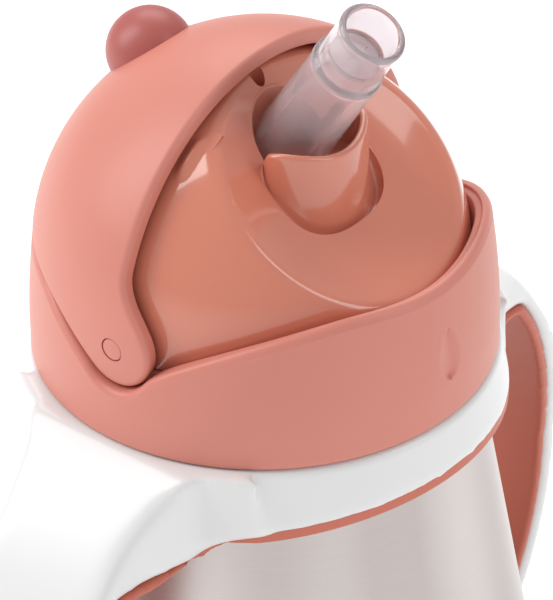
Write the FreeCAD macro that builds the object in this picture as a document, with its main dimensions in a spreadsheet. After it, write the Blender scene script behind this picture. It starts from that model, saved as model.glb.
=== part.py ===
import FreeCAD, Part
import math
import os
import Sketcher

# Straw cup for a toddler: a double-wall steel cup, a clip-on ring with two handles and a
# screw lid with a folding straw under a swinging hood.  Millimetres, +Z up, the drinking side
# faces -Y, the handles and the hood's pivots lie along X.  The origin is the centre of the foot.

SIZES = {
    # steel cup
    "foot_radius": 40.5,
    "foot_height": 2.4,
    "foot_bend": 13.0,
    "belly_radius": 44.5,
    "belly_low": 11.0,
    "belly_high": 20.5,
    "body_bend": 150.0,
    "cone_low_radius": 42.4,
    "cone_low": 45.5,
    "shoulder_radius": 34.0,
    "shoulder_low": 95.0,
    "shoulder_high": 99.2,
    "steel_wall": 0.8,
    "wall_gap": 2.4,
    "neck_radius": 30.2,
    "mouth_height": 112.4,
    "lip_height": 1.0,
    # screw thread between neck and lid
    "thread_pitch": 4.0,
    "thread_turns": 1.2,
    "thread_start": 105.6,
    "thread_depth": 1.2,
    "thread_clearance": 0.4,
    # handle ring
    "ring_top": 103.7,
    "ring_top_radius": 37.3,
    "ring_low_radius": 39.3,
    "ring_front_edge": 95.2,
    "ring_side_edge": 92.0,
    "flange_low": 99.5,
    "lining_thickness": 1.1,
    "lining_reveal": 1.1,
    "fit_clearance": 0.3,
    "handle_centre_x": 6.0,
    "handle_centre_z": 52.0,
    "handle_radius": 60.5,
    "handle_shell": 3.0,
    "handle_grip": 1.9,
    "handle_top_width": 25.0,
    "handle_low_width": 18.5,
    "handle_end_angle": 46.0,
    "handle_root": 87.8,
    "handle_sweep": 11.0,
    # lid
    "skirt_height": 104.0,
    "skirt_radius": 37.0,
    "skirt_bend_height": 110.0,
    "rim_radius": 35.2,
    "rim_top": 129.0,
    "barrel_bend": 90.0,
    "deck_low": 114.0,
    "deck_thickness": 2.5,
    "pivot_height": 120.25,
    "dome_radius": 32.5,
    "dome_wall": 2.2,
    "dome_gap": 0.25,
    "hood_radius": 36.2,
    "hood_wall": 2.6,
    "hood_front": 1.0,
    "hood_rear_angle": 81.0,
    "hood_blend_height": 13.0,
    "hood_back_blend": 19.0,
    "hood_close_angle": 74.0,
    "ear_radius": 6.8,
    "ear_clearance": 0.3,
    "pin_head_radius": 1.85,
    "pin_radius": 1.5,
    "pin_clearance": 0.05,
    "pin_length": 8.0,
    "knob_radius": 7.0,
    "knob_reach": 35.3,
    "knob_angle": 39.0,
    "knob_stem_radius": 2.5,
    "dish_tilt": 40.0,
    "dish_plane": 24.5,
    "dish_radius": 21.3,
    "dish_step": 1.1,
    "bowl_radius": 15.7,
    "bowl_floor_radius": 10.6,
    "bowl_floor": 17.0,
    "bowl_offset": 4.3,
    "nub_radius": 1.3,
    "nub_length": 7.0,
    "nub_proud": 0.7,
    "nub_side": 18.8,
    "nub_front": 1.9,
    "vent_side": 0.7,
    "vent_back": 0.3,
    "vent_radius": 1.2,
    "marker_radius": 2.2,
    "marker_depth": 0.5,
    "marker_low": 7.0,
    "marker_high": 9.0,
    # gasket, valve and straw
    "gasket_inner": 28.2,
    "straw_tilt": 32.7,
    "straw_bend_height": 132.8,
    "straw_radius": 5.6,
    "straw_bore": 3.9,
    "tip_radius": 5.2,
    "tip_bore": 4.2,
    "socket_radius": 9.5,
    "socket_bore": 8.0,
    "socket_low": 5.0,
    "socket_top": 13.2,
    "flex_start": 11.0,
    "spout_start": 24.4,
    "tip_start": 32.0,
    "tip_end": 40.9,
    "valve_height": 34.0,
    "valve_thickness": 0.8,
    "slit_width": 0.3,
    "slit_length": 4.6,
    "stem_flange_radius": 9.0,
    "stem_flange_height": 1.8,
    "stem_tail": 4.0,
    "nozzle_collar_radius": 7.0,
    "nozzle_collar_height": 1.8,
    "nozzle_bore": 2.6,
    "tube_radius": 4.2,
    "tube_bore": 3.0,
    "tube_low": 9.0,
    "valve_side": 17.0,
    "valve_disc_radius": 4.5,
    "valve_stem_radius": 1.6,
    "getter_radius": 4.0,
    "getter_height": 1.0,
}

# Outlines of bodies of revolution are lists of (radius, height) corners.  A third item is the
# radius of an arc that runs from that corner to the next, a fourth the side its centre is on:
# 1 for the left of the way travelled, -1 for the right.
LEFT = 1
RIGHT = -1

doc = FreeCAD.newDocument("straw_cup")
sheet = doc.addObject("Spreadsheet::Sheet", "Sizes")
for row, (alias, number) in enumerate(SIZES.items(), start=1):
    sheet.set("A%d" % row, alias)
    sheet.set("B%d" % row, str(number))
    sheet.setAlias("B%d" % row, alias)
doc.recompute()

nodes = []


def named(expression):
    """Write every size in an expression as a reference to the sheet."""
    words = []
    word = ""
    for letter in expression + " ":
        if letter.isalnum() or letter == "_":
            word += letter
        else:
            words.append("Sizes." + word if word in SIZES else word)
            words.append(letter)
            word = ""
    return "".join(words).strip()


def value(expression):
    """The number that an expression of sizes has now."""
    result = sheet.evalExpression(named(expression))
    return float(getattr(result, "Value", result))


def bind(thing, **properties):
    """Tie properties of an object to expressions of sizes."""
    for name, expression in properties.items():
        thing.setExpression(name.replace("__", "."), named(expression))


def place(thing, x="0", y="0", z="0", axis=None, angle="0"):
    """Put an object at expressions of sizes, turned about one axis."""
    turn = FreeCAD.Rotation(FreeCAD.Vector(*(axis or (0, 0, 1))), value(angle))
    thing.Placement = FreeCAD.Placement(FreeCAD.Vector(value(x), value(y), value(z)), turn)
    bind(thing, Placement__Base__x=x, Placement__Base__y=y, Placement__Base__z=z)
    if axis:
        bind(thing, Placement__Rotation__Angle="(%s) * 1 deg" % angle)
    return thing


def fix_coordinate(sketch, kind, axis, geometry, end, expression):
    """Hold one end of a sketch line at a distance from the sketch's origin."""
    number = value(expression)
    if abs(number) < 1e-9:
        sketch.addConstraint(Sketcher.Constraint("PointOnObject", geometry, end, axis))
    elif number > 0:
        index = sketch.addConstraint(Sketcher.Constraint(kind, -1, 1, geometry, end, number))
        sketch.setExpression("Constraints[%d]" % index, named(expression))
    else:
        index = sketch.addConstraint(Sketcher.Constraint(kind, geometry, end, -1, 1, -number))
        sketch.setExpression("Constraints[%d]" % index, named("-(%s)" % expression))


def arc_between(start, end, radius, side):
    """An arc of a radius from start to end with its centre on one side of the way."""
    way = end - start
    half = way.Length / 2
    across = FreeCAD.Vector(-way.y, way.x, 0).normalize() * side
    centre = start + way / 2 + across * math.sqrt(max(radius * radius - half * half, 0))
    ends = (start, end) if side == LEFT else (end, start)
    first, last = (math.atan2(p.y - centre.y, p.x - centre.x) for p in ends)
    circle = Part.Circle(centre, FreeCAD.Vector(0, 0, 1), radius)
    return Part.ArcOfCircle(circle, first, last if last > first else last + 2 * math.pi)


def draw(sketch, outline):
    """Draw a closed outline of lines and arcs whose corners and radii follow the sheet."""
    corners = [FreeCAD.Vector(value(corner[0]), value(corner[1]), 0) for corner in outline]
    ends = []
    for number, corner in enumerate(outline):
        start = corners[number]
        end = corners[(number + 1) % len(outline)]
        if len(corner) == 2:
            geometry = sketch.addGeometry(Part.LineSegment(start, end), False)
            ends.append((geometry, 1, 2))
        else:
            arc = arc_between(start, end, value(corner[2]), corner[3])
            geometry = sketch.addGeometry(arc, False)
            ends.append((geometry, 1, 2) if corner[3] == LEFT else (geometry, 2, 1))
    for number, corner in enumerate(outline):
        geometry, start, end = ends[number]
        following = ends[(number + 1) % len(outline)]
        sketch.addConstraint(Sketcher.Constraint("Coincident", geometry, end, following[0], following[1]))
        fix_coordinate(sketch, "DistanceX", -2, geometry, start, corner[0])
        fix_coordinate(sketch, "DistanceY", -1, geometry, start, corner[1])
        if len(corner) > 2:
            index = sketch.addConstraint(Sketcher.Constraint("Radius", geometry, value(corner[2])))
            sketch.setExpression("Constraints[%d]" % index, named(corner[2]))


def turned(name, outline):
    """A PartDesign body: an outline in the XZ plane turned once about Z."""
    body = doc.addObject("PartDesign::Body", name)
    sketch = body.newObject("Sketcher::SketchObject", name + "_outline")
    plane = [f for f in body.Origin.OriginFeatures if f.Role == "XZ_Plane"][0]
    sketch.AttachmentSupport = [(plane, "")]
    sketch.MapMode = "FlatFace"
    doc.recompute()
    draw(sketch, outline)
    turn = body.newObject("PartDesign::Revolution", name + "_turn")
    turn.Profile = sketch
    turn.ReferenceAxis = (sketch, ["V_Axis"])
    turn.Angle = 360
    body.Tip = turn
    return body


def slab(name, outline, plane, reach):
    """An outline in the XY, XZ or YZ plane, pushed out both ways by reach."""
    sketch = doc.addObject("Sketcher::SketchObject", name + "_outline")
    turns = {"XY": FreeCAD.Rotation(),
             "XZ": FreeCAD.Rotation(FreeCAD.Vector(1, 0, 0), 90),
             "YZ": FreeCAD.Rotation(FreeCAD.Vector(1, 1, 1), 120)}
    sketch.Placement = FreeCAD.Placement(FreeCAD.Vector(), turns[plane])
    draw(sketch, outline)
    push = doc.addObject("Part::Extrusion", name)
    push.Base = sketch
    push.DirMode = "Normal"
    push.Solid = True
    bind(push, LengthFwd=reach, LengthRev=reach)
    return push


def cylinder(name, radius, height):
    solid = doc.addObject("Part::Cylinder", name)
    bind(solid, Radius=radius, Height=height)
    return solid


def ball(name, radius):
    solid = doc.addObject("Part::Sphere", name)
    bind(solid, Radius=radius)
    return solid


def box(name, length, width, height):
    solid = doc.addObject("Part::Box", name)
    bind(solid, Length=length, Width=width, Height=height)
    return solid


def cut(name, base, *tools):
    """Take solids away from a base, one after another."""
    for number, tool in enumerate(tools):
        result = doc.addObject("Part::Cut", name if number == len(tools) - 1 else "%s_cut%d" % (name, number))
        result.Base = base
        result.Tool = tool
        base = result
    return base


def join(name, *solids):
    result = doc.addObject("Part::MultiFuse", name)
    result.Shapes = list(solids)
    result.Refine = True
    return result


def shared(name, first, second):
    result = doc.addObject("Part::Common", name)
    result.Base = first
    result.Tool = second
    return result


def again(name, source):
    """A copy of an object's shape that follows the object."""
    link = doc.addObject("Part::Refine", name)
    link.Source = source
    return link


def finish(thing, label):
    """Give a finished piece its name and list it for export."""
    thing.Label = label
    nodes.append(thing)
    return thing


def helix_ridge(name, start, turns, outline):
    """A screw thread: a small section in the XZ plane carried up a helix from its start height."""
    section = doc.addObject("Sketcher::SketchObject", name + "_section")
    section.Placement = FreeCAD.Placement(FreeCAD.Vector(), FreeCAD.Rotation(FreeCAD.Vector(1, 0, 0), 90))
    draw(section, outline)
    path = doc.addObject("Part::Helix", name + "_path")
    bind(path, Pitch="thread_pitch", Height="thread_pitch * (%s)" % turns, Radius="neck_radius")
    place(path, z=start)
    sweep = doc.addObject("Part::Sweep", name)
    sweep.Sections = [section]
    sweep.Spine = path
    sweep.Solid = True
    sweep.Frenet = True
    return sweep


def in_straw(name, outline):
    """A body turned about the straw's leaning axis, heights counted from the bend in the lid."""
    body = turned(name, outline)
    return place(body, z="straw_bend_height", axis=(1, 0, 0), angle="straw_tilt")


# --- steel cup -------------------------------------------------------------------------------

def cup_profile(inset):
    """The cup's side from foot to shoulder, moved in by an inset."""
    return [
        ("foot_radius - (%s)" % inset, "foot_height + %s" % inset, "foot_bend - (%s)" % inset, LEFT),
        ("belly_radius - (%s)" % inset, "belly_low + %s" % inset),
        ("belly_radius - (%s)" % inset, "belly_high", "body_bend - (%s)" % inset, LEFT),
        ("cone_low_radius - (%s)" % inset, "cone_low"),
        ("shoulder_radius - (%s)" % inset, "shoulder_low"),
    ]


def turned_back(outline):
    """The same corners and arcs, followed the other way."""
    corners = []
    for number in range(len(outline) - 1, -1, -1):
        arc = outline[number - 1][2:] if number else ()
        corners.append(outline[number][:2] + ((arc[0], -arc[1]) if arc else ()))
    return corners


def neck_thread():
    crest = "neck_radius + thread_depth"
    root = "neck_radius - steel_wall / 2"
    return helix_ridge("neck_thread", "thread_start", "thread_turns", [
        (root, "thread_start - 1.0"),
        (crest, "thread_start - 0.4"),
        (crest, "thread_start + 0.4"),
        (root, "thread_start + 1.0"),
    ])


def steel_outer_shell():
    outline = cup_profile("0") + [
        ("neck_radius", "shoulder_high"),
        ("neck_radius", "mouth_height - lip_height"),
        ("neck_radius - steel_wall", "mouth_height - lip_height"),
        ("neck_radius - steel_wall", "shoulder_high - steel_wall"),
    ] + turned_back(cup_profile("steel_wall"))
    shell = turned("cup_shell", outline)
    finish(join("shell_with_thread", shell, neck_thread()), "steel_outer_shell")


def steel_inner_vessel():
    gap = "steel_wall + wall_gap"
    throat = "neck_radius - steel_wall"
    floor = "foot_height + " + gap
    outline = [("0", floor)] + cup_profile(gap) + [
        (throat, "shoulder_high - steel_wall - 1.2"),
        (throat, "mouth_height - lip_height"),
        ("neck_radius", "mouth_height - lip_height"),
        ("neck_radius", "mouth_height"),
        (throat + " - steel_wall", "mouth_height"),
        (throat + " - steel_wall", "shoulder_high - 2 * steel_wall - 1.2"),
    ] + turned_back(cup_profile(gap + " + steel_wall")) + [("0", floor + " + steel_wall")]
    finish(turned("vessel", outline), "steel_inner_vessel")


def steel_base_plate():
    plate = cylinder("base_plate", "foot_radius - steel_wall - 0.2", "steel_wall")
    finish(place(plate, z="foot_height"), "steel_base_plate")


def vacuum_getter():
    getter = cylinder("getter", "getter_radius", "getter_height")
    finish(place(getter, z="foot_height + steel_wall"), "vacuum_getter")


def foot_ring():
    outline = [
        ("foot_radius - 7", "0"),
        ("foot_radius - 1", "0"),
        ("foot_radius - 0.3", "foot_height / 2"),
        ("foot_radius - 0.6", "foot_height"),
        ("foot_radius - 7", "foot_height"),
    ]
    finish(turned("foot", outline), "non_slip_foot_ring")


# --- handle ring -----------------------------------------------------------------------------

def side_silhouette(name, drop):
    """Collar and handles seen along X: a deep curve joins the collar's edge to each handle."""
    reach = "ring_low_radius + 4"
    half_top = "handle_top_width / 2"
    half_low = "handle_low_width / 2"
    low = "handle_centre_z - handle_radius"
    front = "ring_front_edge - %s" % drop
    side = "ring_side_edge - %s" % drop
    turn = "handle_sweep"
    outline = [
        ("-(%s)" % reach, "ring_top + 5"),
        ("-(%s)" % reach, front),
        ("-(%s) - %s" % (half_top, turn), side, turn + " * 1.05", RIGHT),
        ("-(%s)" % half_top, "%s - %s" % (side, turn)),
        ("-(%s)" % half_low, "handle_centre_z"),
        ("-(%s)" % half_low, low),
        (half_low, low),
        (half_low, "handle_centre_z"),
        (half_top, "%s - %s" % (side, turn), turn + " * 1.05", RIGHT),
        ("%s + %s" % (half_top, turn), side),
        (reach, front),
        (reach, "ring_top + 5"),
    ]
    return slab(name, outline, "YZ", "handle_centre_x + handle_radius + 3")


def plan_outline(name):
    """Collar and handles seen from above: each handle flares where it leaves the round collar."""
    half = "handle_top_width / 2"
    flare_x = "ring_low_radius * cos(56 * 1 deg)"
    flare_y = "ring_low_radius * sin(56 * 1 deg)"
    neck_x = "ring_low_radius + 9"
    far = "handle_centre_x + handle_radius + 3"
    outline = [
        (flare_x, "-(%s)" % flare_y, "34", RIGHT),
        (neck_x, "-(%s)" % half),
        (far, "-(%s)" % half),
        (far, half),
        (neck_x, half, "34", RIGHT),
        (flare_x, flare_y),
        ("-(%s)" % flare_x, flare_y, "34", RIGHT),
        ("-(%s)" % neck_x, half),
        ("-(%s)" % far, half),
        ("-(%s)" % far, "-(%s)" % half),
        ("-(%s)" % neck_x, "-(%s)" % half, "34", RIGHT),
        ("-(%s)" % flare_x, "-(%s)" % flare_y),
    ]
    flares = slab(name + "_flares", outline, "XY", "mouth_height")
    disc = cylinder(name + "_disc", "ring_low_radius + 0.5", "mouth_height")
    return join(name, flares, disc)


def on_arc(radius, angle):
    """A corner on a circle about the handle's centre."""
    turn = "(%s) * 1 deg" % angle
    return ("handle_centre_x + (%s) * cos(%s)" % (radius, turn),
            "handle_centre_z + (%s) * sin(%s)" % (radius, turn))


def handle_section(name, outer, inner, root, top, end_trim):
    """One bowed handle in the XZ plane, a band between two circles with a deep root."""
    end = "-(handle_end_angle) + %s" % end_trim
    root_angle = "36"
    near = "shoulder_radius - 3"
    outline = [
        (near, top),
        ("handle_centre_x + sqrt((%s) ^ 2 - (%s - handle_centre_z) ^ 2)" % (outer, top), top, outer, RIGHT),
        on_arc(outer, end),
        on_arc(inner, end) + (inner, LEFT),
        on_arc(inner, root_angle),
        (near, root),
    ]
    return slab(name, outline, "XZ", "ring_low_radius + 6")


def across(name, thing):
    """The same piece on the other side of the YZ plane."""
    mirror = doc.addObject("Part::Mirroring", name)
    mirror.Source = thing
    mirror.Base = (0, 0, 0)
    mirror.Normal = (1, 0, 0)
    return mirror


def cup_clearance(name, inset):
    """The room that the cup takes inside the ring, grown outwards by an inset."""
    slope = "(cone_low_radius - shoulder_radius) / (shoulder_low - cone_low)"
    at_floor = "cone_low_radius + (%s) + cone_low * %s" % (inset, slope)
    outline = [
        ("0", "0"),
        (at_floor, "0"),
        ("shoulder_radius + (%s)" % inset, "shoulder_low"),
        ("neck_radius + thread_depth + thread_clearance", "flange_low"),
        ("neck_radius + thread_depth + thread_clearance", "ring_top + 6"),
        ("0", "ring_top + 6"),
    ]
    return turned(name, outline)


def collar_band(name, inset, top):
    outline = [
        ("neck_radius", "handle_root - handle_grip"),
        ("ring_low_radius - (%s)" % inset, "handle_root - handle_grip"),
        ("ring_low_radius - (%s)" % inset, "ring_side_edge"),
        ("ring_top_radius - (%s)" % inset, top),
        ("neck_radius", top),
    ]
    return turned(name, outline)


def handle_ring():
    shell_inner = "handle_radius - handle_shell"
    right = handle_section("ring_handle", "handle_radius", shell_inner, "handle_root", "ring_top", "0")
    band = collar_band("ring_band", "0", "ring_top")
    whole = join("ring_whole", band, right, across("ring_handle_left", right))
    seen_from_side = shared("ring_side_trim", whole, side_silhouette("ring_silhouette", "0"))
    trimmed = shared("ring_trimmed", seen_from_side, plan_outline("ring_plan"))
    room = cup_clearance("ring_room", "fit_clearance + lining_thickness")
    finish(cut("ring", trimmed, room), "handle_ring")


def handle_lining():
    outer = "handle_radius - handle_shell"
    inner = "handle_radius - handle_shell - handle_grip"
    low = "handle_root - handle_grip"
    right = handle_section("grip_handle", outer, inner, low, "handle_root", "0")
    strip = shared("grip_handles", join("grip_both", right, across("grip_left", right)),
                   side_silhouette("grip_silhouette", "0"))
    strip = shared("grip_handles_trimmed", strip, plan_outline("grip_plan"))
    hoop = shared("grip_hoop", collar_band("grip_band", "1.2", "shoulder_low - 0.2"),
                  side_silhouette("hoop_silhouette", "lining_reveal"))
    hoop = cut("grip_hoop_bored", hoop, cup_clearance("grip_hoop_room", "fit_clearance"))
    ring_room = cup_clearance("grip_room", "fit_clearance + lining_thickness")
    outer_skin = cut("grip_skin", hoop, cut("grip_shell", again("ring_block", doc.getObject("ring_whole")), ring_room))
    strip = cut("grip_strip", strip, cup_clearance("grip_strip_room", "fit_clearance"))
    whole = join("lining_whole", outer_skin, strip)
    finish(cut("lining", whole, again("ring_again", doc.getObject("ring"))), "handle_lining")


# --- lid -------------------------------------------------------------------------------------

def barrel_outline():
    root = "neck_radius + thread_depth + thread_clearance"
    seat = "dome_radius + dome_gap"
    return [
        (root, "skirt_height"),
        ("skirt_radius", "skirt_height"),
        ("skirt_radius", "skirt_bend_height", "barrel_bend * 1.6", LEFT),
        ("rim_radius", "rim_top"),
        ("%s" % seat, "rim_top"),
        ("%s" % seat, "deck_low + deck_thickness"),
        ("0", "deck_low + deck_thickness"),
        ("0", "deck_low"),
        (root, "deck_low"),
    ]


def rim_room():
    """Room above the lid's rim, seen along X: what the hood passes, grown by its clearance.

    The back is the open hood's lower edge; the front is where its front edge comes when it is
    shut; between them is the underside of the ears.  Inside the hood's ball only the part above
    the dome's seat is open, so the deck stays whole.
    """
    front = "(90 - hood_close_angle) * 1 deg"
    back = "(90 - hood_rear_angle) * 1 deg"
    low = "pivot_height - ear_clearance"
    ear = "(ear_radius + ear_clearance)"
    far = "(hood_radius + 3)"
    shut = "(18 - hood_close_angle) * 1 deg"
    shut_y = "(hood_blend_height * cos(%s) + hood_front * sin(%s))" % (front, front)
    outline = [
        ("-%s" % far, "%s + %s * tan(%s) - hood_front / cos(%s)" % (low, far, front, front)),
        ("-%s" % far, "pivot_height + hood_radius"),
        (far, "pivot_height + hood_radius"),
        (far, "%s + %s * tan(%s)" % (low, far, back)),
        ("hood_back_blend", "%s + hood_back_blend * tan(%s)" % (low, back), "30", LEFT),
        ("%s * sin(40 * 1 deg)" % ear, "pivot_height - %s * cos(40 * 1 deg)" % ear, ear, RIGHT),
        ("-%s * cos(%s)" % (ear, shut), "pivot_height + %s * sin(%s)" % (ear, shut), "22", LEFT),
        ("-%s" % shut_y, "%s + %s * tan(%s) - hood_front / cos(%s)" % (low, shut_y, front, front)),
    ]
    side = slab("rim_side", outline, "YZ", "skirt_radius + 5")
    ears = place(cylinder("rim_ears", ear, "2 * skirt_radius + 10"), x="-(skirt_radius + 5)", z="pivot_height",
                 axis=(0, 1, 0), angle="90")
    outer = join("rim_side_and_ears", again("rim_side_again", side), ears)
    above = box("rim_above", "2 * skirt_radius + 10", "2 * skirt_radius + 10", "hood_radius + 5")
    place(above, x="-(skirt_radius + 5)", y="-(skirt_radius + 5)", z="pivot_height - 3")
    inside = place(ball("rim_ball", "hood_radius - hood_wall - ear_clearance"), z="pivot_height")
    return join("rim_room", shared("rim_high", side, above), cut("rim_outer", outer, inside))


def ear_pocket(name, radius, depth_from):
    """A round pocket about the pivot axis on both sides, from a distance outwards."""
    pockets = []
    for side, sign in (("left", "-1"), ("right", "1")):
        turn = "-90" if side == "left" else "90"
        pocket = cylinder("%s_%s" % (name, side), radius, "10")
        pockets.append(place(pocket, x="%s * (%s)" % (sign, depth_from), z="pivot_height",
                             axis=(0, 1, 0), angle=turn))
    return join(name, *pockets)


def lid_thread():
    root = "neck_radius + thread_depth + thread_clearance"
    crest = "neck_radius + thread_clearance"
    start = "thread_start + thread_pitch / 2"
    return helix_ridge("lid_thread", start, "thread_turns - 0.35", [
        (root + " + 0.5", start + " + 0.9"),
        (crest, start + " + 0.35"),
        (crest, start + " - 0.35"),
        (root + " + 0.5", start + " - 0.9"),
    ])


def marker_recess():
    """A drop-shaped recess in the front of the skirt."""
    low = cylinder("marker_drop", "marker_radius", "marker_depth * 2")
    place(low, y="-(skirt_radius - marker_depth)", z="skirt_height + marker_low + marker_radius",
          axis=(1, 0, 0), angle="90")
    tip = doc.addObject("Part::Wedge", "marker_tip")
    bind(tip, Xmin="-marker_radius * 0.9", Xmax="marker_radius * 0.9", X2min="-0.4", X2max="0.4",
         Zmin="0", Zmax="marker_depth * 2", Z2min="0", Z2max="marker_depth * 2",
         Ymin="0", Ymax="marker_high - marker_radius - 0.6")
    place(tip, y="-(skirt_radius - marker_depth)", z="skirt_height + marker_low + marker_radius + 0.6",
          axis=(1, 0, 0), angle="90")
    return join("marker", low, tip)


def lid_base():
    barrel = turned("barrel", barrel_outline())
    threaded = join("barrel_threaded", barrel, lid_thread())
    straw_way = place(cylinder("deck_straw_hole", "straw_radius + 0.1", "deck_thickness * 3"),
                      z="deck_low - deck_thickness")
    valve_way = place(cylinder("deck_valve_hole", "valve_stem_radius + 0.05", "deck_thickness * 3"),
                      y="valve_side", z="deck_low - deck_thickness")
    pockets = ear_pocket("lid_pocket", "ear_radius + ear_clearance", "hood_radius - hood_wall - ear_clearance")
    room = rim_room()
    finish(cut("lid_base_cut", threaded, room, pockets, straw_way, valve_way, marker_recess()), "lid_base")


def dish_void():
    """The shallow saucer and the deep bowl in the dome's front, about the saucer's leaning axis."""
    saucer = turned("saucer_void", [
        ("0", "dish_plane - dish_step"),
        ("dish_radius - 4.5", "dish_plane - dish_step"),
        ("dish_radius", "dish_plane"),
        ("dish_radius + 1.5", "dish_plane + 1.0"),
        ("dish_radius + 1.5", "dome_radius + 4"),
        ("0", "dome_radius + 4"),
    ])
    place(saucer, z="pivot_height", axis=(1, 0, 0), angle="dish_tilt")
    return join("dish", saucer, bowl("bowl_void", "0"))


def bowl(name, grow):
    """The deep bowl, a cone with its centre towards the front of the saucer."""
    shape = turned(name, [
        ("0", "bowl_floor - (%s)" % grow),
        ("bowl_floor_radius + (%s)" % grow, "bowl_floor - (%s)" % grow),
        ("bowl_radius + (%s)" % grow, "dish_plane + 0.4"),
        ("0", "dish_plane + 0.4"),
    ])
    tilt = "dish_tilt * 1 deg"
    return place(shape, y="-(bowl_offset) * cos(%s)" % tilt, z="pivot_height - bowl_offset * sin(%s)" % tilt,
                 axis=(1, 0, 0), angle="dish_tilt")


def dome_ball(name, inset):
    """The dome's outside or inside: a half ball on a short cylinder."""
    return turned(name, [
        ("0", "deck_low + deck_thickness"),
        ("dome_radius - %s" % inset, "deck_low + deck_thickness"),
        ("dome_radius - %s" % inset, "pivot_height", "dome_radius - %s" % inset, LEFT),
        ("0", "pivot_height + dome_radius - %s" % inset),
    ])


def detent_nubs():
    """Two soft ridges on the dome just in front of the open hood's edge."""
    nubs = []
    for side, sign in (("left", "-1"), ("right", "1")):
        nub = doc.addObject("Part::Ellipsoid", "nub_" + side)
        bind(nub, Radius1="nub_proud + 1.2", Radius2="nub_length / 2", Radius3="nub_radius")
        rise = "sqrt((dome_radius - 1.2) ^ 2 - nub_side ^ 2 - nub_front ^ 2)"
        lean = "asin(nub_side / dome_radius)" if side == "right" else "-asin(nub_side / dome_radius)"
        place(nub, x="%s * nub_side" % sign, y="-nub_front", z="pivot_height + " + rise,
              axis=(0, 1, 0), angle="(%s) / 1 deg" % lean)
        nubs.append(nub)
    return nubs


def lid_dome():
    solid = dome_ball("dome_block", "0")
    hollow = dome_ball("dome_hollow", "dome_wall")
    shell = cut("dome_shell", solid, hollow)
    grown_saucer = turned("saucer_wall", [
        ("0", "dish_plane - dish_step - dome_wall"),
        ("dish_radius", "dish_plane - dish_step - dome_wall"),
        ("dish_radius + 1", "dome_radius"),
        ("0", "dome_radius"),
    ])
    place(grown_saucer, z="pivot_height", axis=(1, 0, 0), angle="dish_tilt")
    walls = shared("dish_walls", join("dish_grown", grown_saucer, bowl("bowl_wall", "dome_wall")),
                   again("dome_block_again", solid))
    socket = in_straw("socket_wall", [
        ("0", "socket_low"),
        ("socket_radius", "socket_low"),
        ("socket_radius", "socket_top"),
        ("0", "socket_top"),
    ])
    bosses = ear_pocket("dome_boss", "pin_radius + 1.5", "dome_radius - dome_wall - 1")
    trimmed_bosses = shared("dome_boss_trim", bosses, dome_boss_room())
    dished = cut("dome_dished", join("dome_with_walls", shell, walls), dish_void())
    body = join("dome_body", dished, socket, trimmed_bosses, *detent_nubs())
    bore = in_straw("socket_room", [
        ("0", "socket_low - 6"),
        ("straw_radius + 0.2", "socket_low - 6"),
        ("straw_radius + 0.2", "flex_start - 1.5"),
        ("socket_bore", "flex_start"),
        ("socket_bore", "tip_end"),
        ("0", "tip_end"),
    ])
    pins = ear_pocket("dome_pin_holes", "pin_radius", "dome_radius - dome_wall - 2")
    vent = place(cylinder("dome_vent", "vent_radius", "dome_radius"), x="-vent_side", y="vent_back",
                 z="pivot_height + dome_radius / 2")
    finish(cut("dome", body, bore, pins, vent), "lid_dome")


def dome_boss_room():
    """Both bosses end just inside the hood's ears."""
    width = "hood_radius - hood_wall - ear_clearance"
    room = box("boss_room", "2 * (%s)" % width, "30", "30")
    return place(room, x="-(%s)" % width, y="-15", z="pivot_height - 15")


def pivot_pins():
    """A headed pin each side: its head flush with the ear, its shank in the dome's boss."""
    inner = "hood_radius - pin_length"
    for side, sign, turn in (("left", "-1", "-90"), ("right", "1", "90")):
        pin = turned("pin_" + side, [
            ("0", "0"),
            ("pin_radius", "0"),
            ("pin_radius", "pin_length - hood_wall - ear_clearance / 2"),
            ("pin_head_radius", "pin_length - hood_wall - ear_clearance / 2"),
            ("pin_head_radius", "pin_length - 0.5"),
            ("pin_head_radius - 0.4", "pin_length - 0.1"),
            ("0", "pin_length - 0.1"),
        ])
        place(pin, x="%s * (%s)" % (sign, inner), z="pivot_height", axis=(0, 1, 0), angle=turn)
        finish(pin, "pivot_pin_" + side)


# --- hood ------------------------------------------------------------------------------------

def hood_silhouette():
    """The open hood seen along X: round ears, an upright front edge and a back edge near level."""
    back = "(90 - hood_rear_angle) * 1 deg"
    far = "hood_radius + 3"
    ear = "ear_radius"
    low = "pivot_height"
    return slab("hood_side", [
        ("hood_front * -1", "pivot_height + hood_radius + 3"),
        ("hood_front * -1", "pivot_height + hood_blend_height", "22", RIGHT),
        ("-(%s) * cos(18 * 1 deg)" % ear, "pivot_height + (%s) * sin(18 * 1 deg)" % ear, ear, LEFT),
        ("0", "%s - %s" % (low, ear), ear, LEFT),
        ("(%s) * sin(40 * 1 deg)" % ear, "%s - (%s) * cos(40 * 1 deg)" % (low, ear), "30", RIGHT),
        ("hood_back_blend", "pivot_height + hood_back_blend * tan(%s)" % back),
        (far, "pivot_height + (%s) * tan(%s)" % (far, back)),
        (far, "pivot_height + hood_radius + 3"),
    ], "YZ", "hood_radius + 5")


def hood():
    outer = place(ball("hood_outer", "hood_radius"), z="pivot_height")
    inner = place(ball("hood_inner", "hood_radius - hood_wall"), z="pivot_height")
    shell = cut("hood_shell", outer, inner)
    band = shared("hood_band", shell, hood_silhouette())
    ears = ear_pocket("hood_pin_holes", "pin_head_radius + pin_clearance", "hood_radius - hood_wall - 3")
    stem = knob_shape("hood_knob_hole", "knob_stem_radius", "hood_radius - hood_wall - 2", "8")
    finish(cut("hood_cut", band, ears, stem), "hood")


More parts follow.
